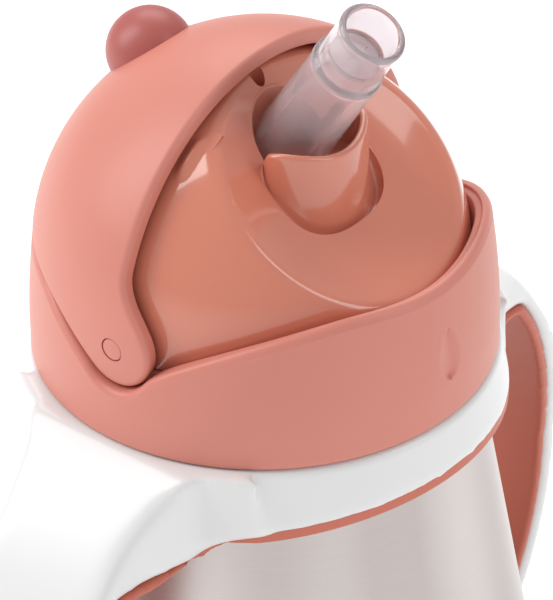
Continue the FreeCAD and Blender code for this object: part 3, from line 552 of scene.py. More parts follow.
@dataclass
class Straw:
    """The silicone straw: an upright root, a bend, a soft fold and a stepped mouthpiece."""

    tilt: float = 32.7
    bend_height: float = 132.8
    bend_reach: float = 6.0
    low: float = 110.0
    radius: float = 5.6
    bore: float = 3.9
    fold_start: float = 11.0
    fold_end: float = 24.4
    tip_start: float = 32.0
    tip_end: float = 40.9
    tip_radius: float = 5.2
    tip_bore: float = 4.2
    deck: float = 116.5
    foot_flange: float = 9.0
    bead_radius: float = 7.5
    bead_low: float = 5.9
    bead_high: float = 8.7
    swell_end: float = 15.0
    membrane: float = 34.0
    membrane_thickness: float = 0.8
    slit: float = 4.6

    def path(self, station: Array) -> tuple[Array, Array]:
        """Follow the straw's centreline.

        It runs up Z, turns through the tilt on an arc tangent to both runs, and leans forward.
        A station is the distance from the bend's corner, negative below it.

        Args:
            station: the distances.

        Returns:
            The centreline's y and z, and the lean angle in radians, at each station.
        """
        lean = math.radians(self.tilt)
        radius = self.bend_reach / math.tan(lean / 2)
        arc = radius * lean
        along = np.asarray(station, float)
        turned_part = np.clip((along + self.bend_reach) / (2 * self.bend_reach), 0, 1) * arc / radius
        y = -radius * (1 - np.cos(turned_part))
        z = self.bend_height - self.bend_reach + radius * np.sin(turned_part)
        above = np.maximum(along - self.bend_reach, 0)
        below = np.minimum(along + self.bend_reach, 0)
        y = y - above * math.sin(lean)
        z = z + above * math.cos(lean) + below
        return np.stack([y, z], -1), turned_part

    def tube(self, station: Array, radius: Array, count: int) -> Array:
        """Carry circles of the given radii along the centreline: centre + r(cos a, sin a) across it."""
        centre, lean = self.path(station)
        angle = np.linspace(0, 2 * np.pi, count, endpoint=False)
        radius = np.asarray(radius, float)[:, None]
        x = radius * np.sin(angle)
        front = radius * np.cos(angle)
        y = centre[:, :1] - front * np.cos(lean)[:, None]
        z = centre[:, 1:] - front * np.sin(lean)[:, None]
        return np.stack([x, y, z], -1)

    def point(self, station: float) -> tuple[float, float, float]:
        """A point of the centreline in metres."""
        (y, z), = self.path(np.array([station]))[0]
        return 0.0, float(y) * MM, float(z) * MM

    def wall(self) -> Array:
        """The straw's closed wall as rows of station and radius, outside up and inside down."""
        low, deck = self.low - self.bend_height, self.deck - self.bend_height
        step, end, seat = self.tip_start, self.tip_end, self.membrane + self.membrane_thickness
        bore, tube, flange, bead = self.bore, self.radius, self.foot_flange, self.bead_radius
        lips, mouth = self.tip_radius, self.tip_bore
        outside = filleted([
            (low, bore, 0), (low, tube, 0.3), (deck, tube, 0.0),
            (deck, flange, 0.4), (deck + 1.8, flange, 0.5), (deck + 2.0, tube, 0.5),
            (self.bead_low - 0.7, tube, 0.8), (self.bead_low, bead, 0.7),
            (self.bead_high, bead, 1.0), (self.bead_high + 0.5, tube + 0.35, 0.7),
            (self.swell_end, tube + 0.25, 1.0), (step - 1.4, tube, 0.3), (step - 0.9, tube + 0.22, 0.3),
            (step - 0.2, tube + 0.15, 0.3), (step + 0.3, lips, 0.3),
            (end - 1.6, lips, 0.5), (end - 0.6, lips + 0.22, 0.3), (end, lips - 0.1, 0.35),
            (end - 0.05, mouth + 0.25, 0.3), (end - 0.8, mouth, 0.3),
            (seat + 0.1, mouth, 0.15), (seat, bore, 0.1), (low, bore, 0),
        ], 5)
        return divided(outside, 0.9)

    def pieces(self) -> None:
        """Build the straw and hide the nodes that it replaces, then build and set its membrane."""
        wall = self.wall()
        grid = self.tube(wall[:, 0], wall[:, 1], 96)
        straw = build("drinking_straw", [Patch(grid, wrap_rows=True, wrap_columns=True)], 50)
        FINISHES.dress(straw, STRAW_SILICONE)
        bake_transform(straw)
        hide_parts("straw_stem", "straw_flex", "straw_mouthpiece")
        LOG.info("%s: %d faces between lid and straw", straw.name, len(straw.data.polygons))
        self.valve()

    def valve(self) -> None:
        """A membrane that bulges 0.5 mm towards the lips, with a crossed slit through it."""
        edge = self.bore - 0.03
        r = np.linspace(0, edge, 12)
        rise = 0.5 * (1 - (r / edge) ** 2)
        top = np.stack([self.membrane + self.membrane_thickness + rise, r], -1)
        under = np.stack([self.membrane + rise, r], -1)[::-1]
        line = np.concatenate([top, under])
        membrane = build("straw_membrane", [Patch(self.tube(line[:, 0], line[:, 1], 64), wrap_columns=True)])
        lean = Matrix.Rotation(math.radians(self.tilt), 4, "X")
        for turn in (0.0, 90.0):
            cutter = box_mesh((self.slit, 0.22, 4.0))
            spin = Matrix.Rotation(math.radians(turn), 4, "Z")
            cutter.data.transform(Matrix.Translation(Vector(self.point(self.membrane + 0.6))) @ lean @ spin)
            carve(membrane, cutter)
        settle(membrane, Body.STRAW, MILKY_SILICONE, ["straw_slit_valve"])


def box_mesh(size: Sequence[float]) -> bpy.types.Object:
    """A box about the origin, for cutting with."""
    half = np.array(size, float) / 2
    loop = np.array([(-1, -1), (1, -1), (1, 1), (-1, 1)], float)
    rows = [np.zeros((4, 2)), loop, loop, np.zeros((4, 2))]
    heights = [-1.0, -1.0, 1.0, 1.0]
    grid = np.stack([np.concatenate([row * half[:2], np.full((4, 1), h * half[2])], -1)
                     for row, h in zip(rows, heights)])
    return build("cutter", [Patch(grid, wrap_columns=True)])


def rod_mesh(start: Sequence[float], direction: Sequence[float], radius: float, length: float,
             count: int = 48) -> bpy.types.Object:
    """A round rod from a point along a direction, for cutting with."""
    axis = Vector(direction).normalized()
    turn = axis.to_track_quat("Z", "Y").to_matrix().to_4x4()
    grid = ring([0, radius, radius, 0], [0, 0, length, length], count)
    rod = build("cutter", [Patch(grid, wrap_columns=True)])
    rod.data.transform(Matrix.Translation(Vector(start) * MM) @ turn)
    return rod


# --- the dome ------------------------------------------------------------------------------


@dataclass
class Dome:
    """The polished dome: a ball with a leaning saucer, and a collar that shields the straw.

    Its grid is polar about an upright axis through the straw's opening.  Every column runs from
    the opening's floor up the bore, over the collar's lip, down its outside into a narrow moat,
    across the saucer, over the saucer's lip and down the ball to the deck.
    """

    radius: float = 32.5
    low: float = 116.6
    axis_forward: float = 9.0
    axis_aside: float = -0.6
    saucer_lean: float = 40.0
    saucer_radius: float = 21.3
    saucer_floor: float = 22.2
    saucer_rise: float = 1.95
    saucer_start: float = 7.0
    lip_inset: float = 1.2
    lip_outset: float = 1.15
    bore_floor: float = 139.0
    lip_round: float = 0.62
    rear_round: float = 0.4
    collar_fade: tuple[float, float] = (84.0, 102.0)
    collar_join: tuple[float, float] = (90.0, 104.0)
    collar_front: tuple[float, float, float] = (1.3, 8.9, 6.3)
    collar_rear: tuple[float, float, float] = (-1.5, 7.7, 5.9)
    collar_height: float = 144.47
    collar_lean: float = 2.68
    collar_ears: float = 1.9
    moat_centre: float = -2.3
    moat_long: float = 9.0
    moat_wide: float = 10.8
    moat_power: float = 2.5
    wall_draft: float = 0.035
    nub: tuple[float, float, float] = (18.8, 1.9, 0.75)
    vent: tuple[float, float, float] = (-0.7, 0.25, 1.35)
    vent_depth: float = 4.0

    @property
    def ball_plane(self) -> float:
        """Height of the saucer's sharp edge above the pivot, along its leaning axis."""
        return math.sqrt(self.radius ** 2 - self.saucer_radius ** 2)

    def world(self, u: Array, v: Array, w: Array) -> Array:
        """Turn saucer coordinates, u downhill, v to the side and w up its axis, into x, y, z."""
        lean = math.radians(self.saucer_lean)
        return np.stack([v, -w * math.sin(lean) - u * math.cos(lean),
                         PIVOT_HEIGHT + w * math.cos(lean) - u * math.sin(lean)], -1)

    def saucer(self, points: Array) -> Array:
        """Turn x, y, z into saucer coordinates u, v, w."""
        lean = math.radians(self.saucer_lean)
        y, z = points[..., 1], points[..., 2] - PIVOT_HEIGHT
        return np.stack([-y * math.cos(lean) - z * math.sin(lean), points[..., 0],
                         -y * math.sin(lean) + z * math.cos(lean)], -1)

    def floor(self, distance: Array) -> Array:
        """The saucer's height at a distance from its axis: a floor that curls up as t^2.2."""
        edge = self.saucer_radius - self.lip_inset
        t = np.clip((distance - self.saucer_start) / (edge - self.saucer_start), 0, 1.2)
        return self.saucer_floor + self.saucer_rise * t ** 2.2

    def on_circle(self, angle: Array, radius: float, height: float) -> Array:
        """Where the column at an angle meets the saucer's circle of that radius and height."""
        lean = math.radians(self.saucer_lean)
        k = self.axis_forward - height * math.sin(lean)
        c = math.cos(lean) ** 2
        a = np.sin(angle) ** 2 + np.cos(angle) ** 2 / c
        b = 2 * k * np.cos(angle) / c
        reach = (-b + np.sqrt(b * b - 4 * a * (k * k / c - radius ** 2))) / (2 * a)
        u = (reach * np.cos(angle) + k) / math.cos(lean)
        return self.world(u, reach * np.sin(angle), np.full_like(angle, height))

    def at(self, angle: Array, reach: Array, height: Array) -> Array:
        """The point at an angle, a distance from the upright axis and a height."""
        return np.stack([reach * np.sin(angle) + self.axis_aside,
                         -self.axis_forward - reach * np.cos(angle), height], -1)

    def on_saucer(self, angle: Array, reach: Array) -> Array:
        """The saucer's height in z under a point given by angle and distance, found in four rounds."""
        lean = math.radians(self.saucer_lean)
        y = -self.axis_forward - reach * np.cos(angle)
        w = np.full_like(angle, self.saucer_floor)
        for _ in range(4):
            z = PIVOT_HEIGHT + (w + y * math.sin(lean)) / math.cos(lean)
            uvw = self.saucer(self.at(angle, reach, z))
            w = self.floor(np.hypot(uvw[..., 0], uvw[..., 1]))
        return z

    @staticmethod
    def on_ellipse(angle: Array, ellipse: tuple[float, float, float]) -> tuple[Array, Array]:
        """Where the column at an angle meets an upright wall of elliptic plan.

        Args:
            angle: the column's angle from the front.
            ellipse: its centre's distance ahead of the axis, its half width and half length.

        Returns:
            The distance from the axis, and the ellipse's own angle there.
        """
        ahead, wide, long = ellipse
        a = (np.sin(angle) / wide) ** 2 + (np.cos(angle) / long) ** 2
        b = -2 * ahead * np.cos(angle) / long ** 2
        reach = (-b + np.sqrt(b * b - 4 * a * (ahead ** 2 / long ** 2 - 1))) / (2 * a)
        return reach, np.arctan2(reach * np.sin(angle) / wide, (reach * np.cos(angle) - ahead) / long)

    def moat(self, angle: Array) -> tuple[Array, Array]:
        """The moat's outer edge: |u/a|^n + |v/b|^n = 1 on the saucer, as distance and height by angle."""
        turn = np.linspace(0, 2 * np.pi, 721)[:-1]
        power = 2 / self.moat_power
        u = self.moat_centre + self.moat_long * np.sign(np.cos(turn)) * np.abs(np.cos(turn)) ** power
        v = self.moat_wide * np.sign(np.sin(turn)) * np.abs(np.sin(turn)) ** power
        edge = self.world(u, v, self.floor(np.hypot(u, v)))
        forward = -edge[:, 1] - self.axis_forward
        seen = np.arctan2(edge[:, 0], forward)
        reach = np.hypot(edge[:, 0], forward)
        order = np.argsort(seen)
        return (np.interp(angle, seen[order], reach[order], period=2 * np.pi),
                np.interp(angle, seen[order], edge[order, 2], period=2 * np.pi))

    def columns(self, count: int) -> list[Array]:
        """The rings of the grid from the opening's floor out to the deck."""
        angle = np.linspace(-np.pi, np.pi, count, endpoint=False)
        front = 1 - ease(np.degrees(np.abs(angle)), *self.collar_fade)
        reach, size, top = self.collar(angle, front)
        rings = self.opening(angle, front, reach, size, top)
        gutter, edge_reach, edge_height = self.gutter(angle, front, reach, size, top)
        rings += gutter
        start = self.saucer(self.at(angle, edge_reach + 0.25 * front + 0.02, edge_height))
        rings += self.bowl(angle, start)
        rings += self.ball(angle, rings[-1])
        return rings

    def collar(self, angle: Array, front: Array) -> tuple[Array, Array, Array]:
        """The collar's plan, its lip's rounding and its height, by angle.

        The plan is one ellipse in front and another behind.  In front the rim's height is
        z0 + a cos t - b cos 2t in the ellipse's angle t; behind, the rim lies on the saucer.
        """
        shield, turn = self.on_ellipse(angle, self.collar_front)
        cradle = self.on_ellipse(angle, self.collar_rear)[0]
        reach = shield + (cradle - shield) * ease(np.degrees(np.abs(angle)), *self.collar_join)
        size = self.rear_round + (self.lip_round - self.rear_round) * front
        behind = self.on_saucer(angle, reach + size)
        ahead = self.collar_height + self.collar_lean * np.cos(turn) - self.collar_ears * np.cos(2 * turn)
        return reach, size, behind + (ahead - behind) * front

    def opening(self, angle: Array, front: Array, reach: Array, size: Array, top: Array) -> list[Array]:
        """Rings from the opening's closed floor up the bore and over the collar's round lip."""
        rings = [self.at(angle, reach * 0, np.full_like(angle, self.bore_floor))]
        for t in np.linspace(0, 1, 6):
            rings.append(self.at(angle, reach, self.bore_floor + (top - size - self.bore_floor) * t))
        for t in np.radians(np.linspace(15, 90, 6)):
            rings.append(self.at(angle, reach + size * (1 - np.cos(t)), top - size * (1 - np.sin(t))))
        for t in np.radians(np.linspace(75, 0, 6)):
            rings.append(self.at(angle, reach + size * (1 + front * np.cos(t)),
                                 top - front * size * (1 - np.sin(t))))
        return rings

    def gutter(self, angle: Array, front: Array, reach: Array, size: Array,
               top: Array) -> tuple[list[Array], Array, Array]:
        """Rings down the collar's outside and through the moat, which is a half ellipse across.

        Returns:
            The rings, and the distance and height of the moat's outer edge.
        """
        outer, shoulder = reach + size * (1 + front), top - front * size
        edge_reach, edge_height = self.moat(angle)
        edge_reach = reach + size + (np.maximum(edge_reach, outer + 0.4) - reach - size) * front
        edge_height = top + (self.on_saucer(angle, edge_reach) - top) * front
        foot = np.minimum(edge_height, shoulder)
        draft = outer + self.wall_draft * (shoulder - foot)
        draft = np.minimum(draft, edge_reach - 0.3 * front)
        rings = []
        for t in np.linspace(0.1, 1, 9):
            rings.append(self.at(angle, outer + (draft - outer) * t, shoulder + (foot - shoulder) * t))
        gap = edge_reach - draft
        for t in np.linspace(0.12, 1, 9) * np.pi:
            across = (1 - np.cos(t)) / 2
            deep = (0.25 * front + 0.9 * gap) * np.sin(t) + 0.22 * front * (t / np.pi) ** 4
            rings.append(self.at(angle, draft + gap * across, foot + (edge_height - foot) * across - deep))
        rings.append(self.at(angle, edge_reach + 0.07 * front, edge_height - 0.06 * front))
        return rings, edge_reach, edge_height

    def bowl(self, angle: Array, start: Array) -> list[Array]:
        """Rings across the saucer, from a start in saucer coordinates to the foot of its lip."""
        inner = self.saucer_radius - self.lip_inset
        end = self.saucer(self.on_circle(angle, inner, float(self.floor(inner))))
        rings = []
        for t in np.linspace(0, 1, 14):
            uv = start[:, :2] + (end[:, :2] - start[:, :2]) * t
            rings.append(self.world(uv[:, 0], uv[:, 1], self.floor(np.hypot(uv[:, 0], uv[:, 1]))))
        return rings

    def ball(self, angle: Array, edge: Array) -> list[Array]:
        """Rings over the saucer's lip, down the ball to its equator and on to the closed underside."""
        corner = self.on_circle(angle, self.saucer_radius, self.ball_plane - 0.05)
        beyond = self.saucer_radius + self.lip_outset
        leaving = self.on_circle(angle, beyond, math.sqrt(self.radius ** 2 - beyond ** 2))
        rings = []
        for t in np.linspace(0, 1, 9)[1:]:
            rings.append(edge * (1 - t) ** 2 + 2 * corner * t * (1 - t) + leaving * t * t)
        centre = np.array([0, 0, PIVOT_HEIGHT])
        first = (leaving - centre) / self.radius
        last = np.stack([np.sin(angle), -np.cos(angle), 0 * angle], -1)
        for t in np.linspace(0, 1, 34)[1:]:
            rings.append(centre + self.radius * slerp(first, last, t))
        for share, rise in ((1.0, 1.4), (1.0, 0.3), (0.99, 0.0), (0.5, 0.0), (0.0, 0.0)):
            reach = share * self.radius
            rings.append(np.stack([reach * np.sin(angle), -reach * np.cos(angle),
                                   np.full_like(angle, self.low + rise)], -1))
        return rings

    def ridge(self, side: float) -> Patch:
        """A soft detent ridge beside the hood's edge.

        A patch of the ball about the ridge's middle, raised by h exp(-(a/3.4)^4 - b^2) and sunk
        0.05 mm at its border; a runs along the ridge and b across it, in millimetres.
        """
        across, forward, height = self.nub
        up = math.sqrt(self.radius ** 2 - across ** 2 - forward ** 2)
        middle = np.array([side * across, -forward, up]) / self.radius
        along = np.cross([0, 1, 0], middle)
        along /= np.linalg.norm(along)
        beside = np.cross(middle, along)
        a, b = np.meshgrid(np.linspace(-5.5, 5.5, 56), np.linspace(-2.4, 2.4, 32), indexing="ij")
        raised = height * np.exp(-(a / 3.4) ** 4 - (b / 1.0) ** 2) - 0.05
        aim = middle * self.radius + a[..., None] * along + b[..., None] * beside
        aim /= np.linalg.norm(aim, axis=-1, keepdims=True)
        top = aim * (self.radius + raised)[..., None] + [0, 0, PIVOT_HEIGHT]
        return Patch(top)

    def pieces(self) -> None:
        """Build and set the dome with its ridges and its air hole."""
        rings = np.stack(self.columns(288))
        dome = build("lid_dome_shell", [Patch(rings, wrap_columns=True)], 40)
        side, back, size = self.vent
        start = (side, back, PIVOT_HEIGHT + self.radius - self.vent_depth)
        carve(dome, rod_mesh(start, (side, back, self.radius), size, 2 * self.vent_depth), 40)
        settle(dome, Body.LID, GLOSS_TERRACOTTA, ["lid_dome"])
        for name, sign in (("detent_ridge_left", -1.0), ("detent_ridge_right", 1.0)):
            top = self.ridge(sign).points
            under = top + (np.array([0, 0, PIVOT_HEIGHT]) - top) * 0.02
            border = np.concatenate([top[0], top[1:, -1], top[-1, -2::-1], top[-2:0:-1, 0]])
            lower = np.concatenate([under[0], under[1:, -1], under[-1, -2::-1], under[-2:0:-1, 0]])
            skirt = Patch(np.stack([border, lower]), wrap_columns=True)
            ridge = build(name, [Patch(top), Patch(under), skirt], 60)
            settle(ridge, Body.LID, GLOSS_TERRACOTTA)


# --- the hood ------------------------------------------------------------------------------


@dataclass
class Hood:
    """The swinging hood: a band of a ball between a front and a rear curve that meet in round ears.

    The two curves are drawn in the side view, y forward negative and z above the pivot, and
    lifted onto the ball by x = sqrt(R^2 - y^2 - z^2).  The band between them is filled along
    great circles, and its edge is rounded by carrying a profile round the whole outline.
    """

    radius: float = 36.2
    wall: float = 2.6
    front: float = 1.0
    ear: float = 6.8
    ear_top: float = 18.0
    blend_top: float = 13.0
    rear_rise: float = 9.0
    rear_blend: float = 19.0
    outer_round: float = 0.95
    inner_round: float = 0.35
    pin_hole: float = 1.98
    knob_lean: float = 39.0
    knob_reach: float = 35.3
    knob_radius: float = 7.0
    pin_radius: float = 1.85

    def front_line(self) -> Array:
        """Side view of the front edge, from the ear's lowest point up to the crown."""
        turn = np.radians(np.linspace(270, 180 - self.ear_top, 60))
        ear = self.ear * np.stack([np.cos(turn), np.sin(turn)], -1)
        heading = np.array([math.sin(turn[-1]), -math.cos(turn[-1])])
        end = np.array([-self.front, self.blend_top])
        reach = np.linalg.norm(end - ear[-1])
        blend = hermite(ear[-1], heading * reach, end, np.array([0, 1.0]) * reach, 40)
        crown = math.sqrt(self.radius ** 2 - self.front ** 2)
        height = self.blend_top + (crown - self.blend_top) * np.sin(np.linspace(0, np.pi / 2, 160))
        straight = np.stack([np.full_like(height, -self.front), height], -1)
        return np.concatenate([ear, blend[1:], straight[1:]])

    def rear_line(self) -> Array:
        """Side view of the rear edge, from the ear's lowest point round to the middle of the back."""
        turn = np.radians(np.linspace(-90, -50, 40))
        ear = self.ear * np.stack([np.cos(turn), np.sin(turn)], -1)
        rise = math.radians(self.rear_rise)
        heading = np.array([-math.sin(turn[-1]), math.cos(turn[-1])])
        end = np.array([self.rear_blend, self.rear_blend * math.tan(rise)])
        away = np.array([math.cos(rise), math.sin(rise)])
        reach = np.linalg.norm(end - ear[-1])
        blend = hermite(ear[-1], heading * reach, end, away * reach, 40)
        far = self.radius * math.cos(rise)
        y = self.rear_blend + (far - self.rear_blend) * np.sin(np.linspace(0, np.pi / 2, 160))
        straight = np.stack([y, y * math.tan(rise)], -1)
        return np.concatenate([ear, blend[1:], straight[1:]])

    def lifted(self, line: Array, count: int) -> Array:
        """Lift a side-view line onto the ball as unit vectors, from the left ear to the right one."""
        x = np.sqrt(np.maximum(self.radius ** 2 - (line ** 2).sum(1), 0))
        left = np.stack([-x, line[:, 0], line[:, 1]], -1)
        whole = np.concatenate([left, left[-2::-1] * [-1, 1, 1]])
        even = evenly(whole, count)
        return even / np.linalg.norm(even, axis=1, keepdims=True)

    @staticmethod
    def placed(unit: Array, radius: float) -> Array:
        """Put unit vectors at a radius about the pivot."""
        return unit * radius + [0, 0, PIVOT_HEIGHT]

    def shell(self) -> list[Patch]:
        """The hood's patches: the rounded edge round the outline, and the outer and inner faces."""
        count = 261
        ahead, behind = self.lifted(self.front_line(), count), self.lifted(self.rear_line(), count)
        loop = np.concatenate([ahead, behind[-2:0:-1]])
        tangent = np.roll(loop, -1, 0) - np.roll(loop, 1, 0)
        inward = np.cross(loop, tangent)
        inward /= np.linalg.norm(inward, axis=1, keepdims=True)

        def inset(distance: float) -> Array:
            moved = loop + inward * distance / self.radius
            return moved / np.linalg.norm(moved, axis=1, keepdims=True)

        inner = self.radius - self.wall
        rows = []
        for t in np.radians(np.linspace(0, 90, 8)):
            r = self.outer_round
            rows.append(self.placed(inset(r * (1 - math.sin(t))), self.radius - r * (1 - math.cos(t))))
        for t in np.radians(np.linspace(0, 90, 5)):
            r = self.inner_round
            rows.append(self.placed(inset(r * (1 - math.cos(t))), inner + r * (1 - math.sin(t))))
        patches = [Patch(np.stack(rows), wrap_columns=True)]
        for distance, radius in ((self.outer_round, self.radius), (self.inner_round, inner)):
            edge = inset(distance)
            first = edge[:count]
            last = np.concatenate([edge[:1], edge[:count - 1:-1], edge[count - 1:count]])
            t = np.linspace(0, 1, 60)[:, None, None]
            patches.append(Patch(self.placed(slerp(first[None], last[None], t), radius)))
        return patches

    def knob(self) -> Patch:
        """The thumb knob, turned about its own leaning axis: a ball with a small fillet at its foot."""
        turn = np.radians(np.linspace(0, 137, 48))
        r, z = self.knob_radius * np.sin(turn), self.knob_radius * np.cos(turn)
        foot_r = np.array([r[-1] + 0.08, r[-1] + 0.5, 0.0])
        foot_z = np.array([z[-1] - 0.4, z[-1] - 1.0, z[-1] - 1.0])
        grid = ring(np.concatenate([r, foot_r]), np.concatenate([z, foot_z]), 96)
        lean = math.radians(self.knob_lean)
        y = grid[..., 1] * math.cos(lean) + (grid[..., 2] + self.knob_reach) * math.sin(lean)
        height = -grid[..., 1] * math.sin(lean) + (grid[..., 2] + self.knob_reach) * math.cos(lean)
        return Patch(np.stack([grid[..., 0], y, PIVOT_HEIGHT + height], -1), wrap_columns=True)

    def pin(self, side: float) -> Patch:
        """A hinge pin along X with a slightly crowned head, flush with the ear."""
        head = self.radius - 0.12
        profile = filleted([(0, head + 0.05, 0), (self.pin_radius, head, 0.3), (self.pin_radius, 34.0, 0),
                            (1.5, 33.9, 0), (1.5, 28.3, 0.3), (0, 28.3, 0)])
        grid = ring(profile[:, 0], profile[:, 1], 64)
        return Patch(np.stack([side * grid[..., 2], grid[..., 0], PIVOT_HEIGHT + grid[..., 1]], -1),
                     wrap_columns=True)

    def pieces(self) -> None:
        """Build and set the hood, its knob and its pins."""
        hood = build("hood_shell", self.shell(), 40)
        for sign in (-1, 1):
            rod = rod_mesh((sign * 30.0, 0, PIVOT_HEIGHT), (sign, 0, 0), self.pin_hole, 9)
            carve(hood, rod, 40)
        settle(hood, Body.HOOD, SATIN_TERRACOTTA, ["hood"])
        knob = build("thumb_knob", [self.knob()], 40)
        settle(knob, Body.HOOD, ROSE_KNOB, ["hood_knob"])
        for name, sign in (("pivot_pin_left", -1.0), ("pivot_pin_right", 1.0)):
            head = build(name + "_head", [self.pin(sign)], 40)
            settle(head, Body.LID, SATIN_TERRACOTTA, [name])


# --- the lid's barrel ----------------------------------------------------------------------


@dataclass
class Barrel:
    """The lid's base: a threaded skirt whose rim rises in front and dips under the hood's ears."""

    low: float = 104.0
    skirt_radius: float = 37.0
    bend_height: float = 110.0
    deck_low: float = 114.0
    deck: float = 116.5
    bore: float = 31.9
    inside: float = 32.85
    rim_round: float = 1.1
    ear_room: float = 7.15
    rim_reach: float = 36.3
    crest_forward: float = 32.5
    crest_rise: float = 7.95
    crest_drop: float = 0.05
    front_leaves: float = 214.0
    front_pulls: tuple[float, float] = (12.0, 16.0)
    rear_leaves: float = 312.0
    rear_pulls: tuple[float, float] = (10.0, 6.0)
    rear_start: float = 19.0
    rear_slope: float = 9.0
    rear_drop: float = 0.3
    marker: tuple[float, float, float] = (2.6, 7.2, 15.8)
    marker_depth: float = 0.55

    def rim_line(self) -> Array:
        """The rim in the side view, from the front to the back, y and z about the pivot.

        A parabola falls ahead of the crest; a cubic leads from the crest to a circle that clears
        the ear; the circle passes under the pivot; a cubic and a straight rise run to the back.
        """
        turn = np.radians(np.linspace(self.front_leaves, self.rear_leaves, 60))
        under = self.ear_room * np.stack([np.cos(turn), np.sin(turn)], -1)
        heading = np.stack([-np.sin(turn), np.cos(turn)], -1)
        start, end = self.front_pulls
        crest = (-self.crest_forward, self.crest_rise)
        front = hermite(crest, (end, 0), under[0], heading[0] * start, 120)
        ahead = np.linspace(-self.skirt_radius, -self.crest_forward, 30)[:-1]
        fall = self.crest_rise - self.crest_drop * (ahead + self.crest_forward) ** 2
        slope = math.radians(self.rear_slope)
        away = np.array([math.cos(slope), math.sin(slope)])
        start, end = self.rear_pulls
        foot = (self.rear_start, self.rear_start * math.tan(slope) - self.rear_drop)
        rear = hermite(under[-1], heading[-1] * start, foot, away * end, 120)
        back = (self.skirt_radius, self.skirt_radius * math.tan(slope) - self.rear_drop)
        return np.concatenate([np.stack([ahead, fall], -1), front, under[1:], rear[1:], [back]])

    def rim(self, angle: Array) -> Array:
        """The rim's height by angle: the side-view line read at y = -R cos a."""
        line = self.rim_line()
        return PIVOT_HEIGHT + np.interp(-self.rim_reach * np.cos(angle), line[:, 0], line[:, 1])

    def outside(self, height: Array) -> Array:
        """The barrel's radius at a height: upright, then closing by 0.028 d + 0.0035 d^2."""
        d = np.maximum(height - self.bend_height, 0)
        return self.skirt_radius - 0.028 * d - 0.0035 * d * d

    def recess(self, angle: Array, height: Array) -> Array:
        """Depth of the drop-shaped thumb mark in front.

        The drop is round below and narrows upwards as cos^0.65; its floor is a smooth hollow.
        """
        half, low, high = self.marker
        x = self.skirt_radius * angle
        rise = (height - self.low - low) / (high - low)
        width = half * np.where(rise < 0.4, np.sqrt(np.clip(1 - ((rise - 0.4) / 0.4) ** 2, 0, 1)),
                                np.cos(np.clip((rise - 0.4) / 0.6, 0, 1) * np.pi / 2) ** 0.65)
        inside = (rise > -0.02) & (rise < 1.02)
        return self.marker_depth * (1 - ease(np.abs(x), 0, width + 0.25)) * inside

    def pieces(self) -> None:
        """Build and set the barrel."""
        fine = np.radians(np.linspace(-5.5, 5.5, 90))
        angle = np.unique(np.concatenate([np.linspace(-np.pi, np.pi, 420, endpoint=False), fine]))
        rim = self.rim(angle)

        def at(radius: Array | float, height: Array | float) -> Array:
            radius, height = np.broadcast_to(radius, angle.shape), np.broadcast_to(height, angle.shape)
            return np.stack([radius * np.sin(angle), -radius * np.cos(angle), height], -1)

        r = self.rim_round
        rings = [at(0, self.deck_low), at(self.bore, self.deck_low), at(self.bore, self.low + 0.4),
                 at(self.bore + 0.4, self.low), at(self.skirt_radius - 0.4, self.low),
                 at(self.skirt_radius - 0.13, self.low + 0.1)]
        for t in np.linspace(0, 1, 62):
            height = self.low + 0.35 + (rim - r - self.low - 0.35) * t
            rings.append(at(self.outside(height) - self.recess(angle, height), height))
        edge = self.outside(rim)
        for t in np.radians(np.linspace(0, 90, 8))[1:]:
            rings.append(at(edge - r * (1 - math.cos(t)), rim - r * (1 - math.sin(t))))
        for radius, drop in ((34.25, 0.0), (34.05, 0.06), (33.95, 0.25), (33.9, 0.55), (33.75, 0.68),
                             (33.2, 0.7), (33.0, 0.8), (self.inside, 1.0)):
            rings.append(at(radius, rim - drop))
        rings += [at(self.inside, self.deck), at(0, self.deck)]
        barrel = build("lid_barrel", [Patch(np.stack(rings), wrap_columns=True)], 40)
        settle(barrel, Body.LID, SATIN_TERRACOTTA, ["lid_base"])


# --- the cup -------------------------------------------------------------------------------


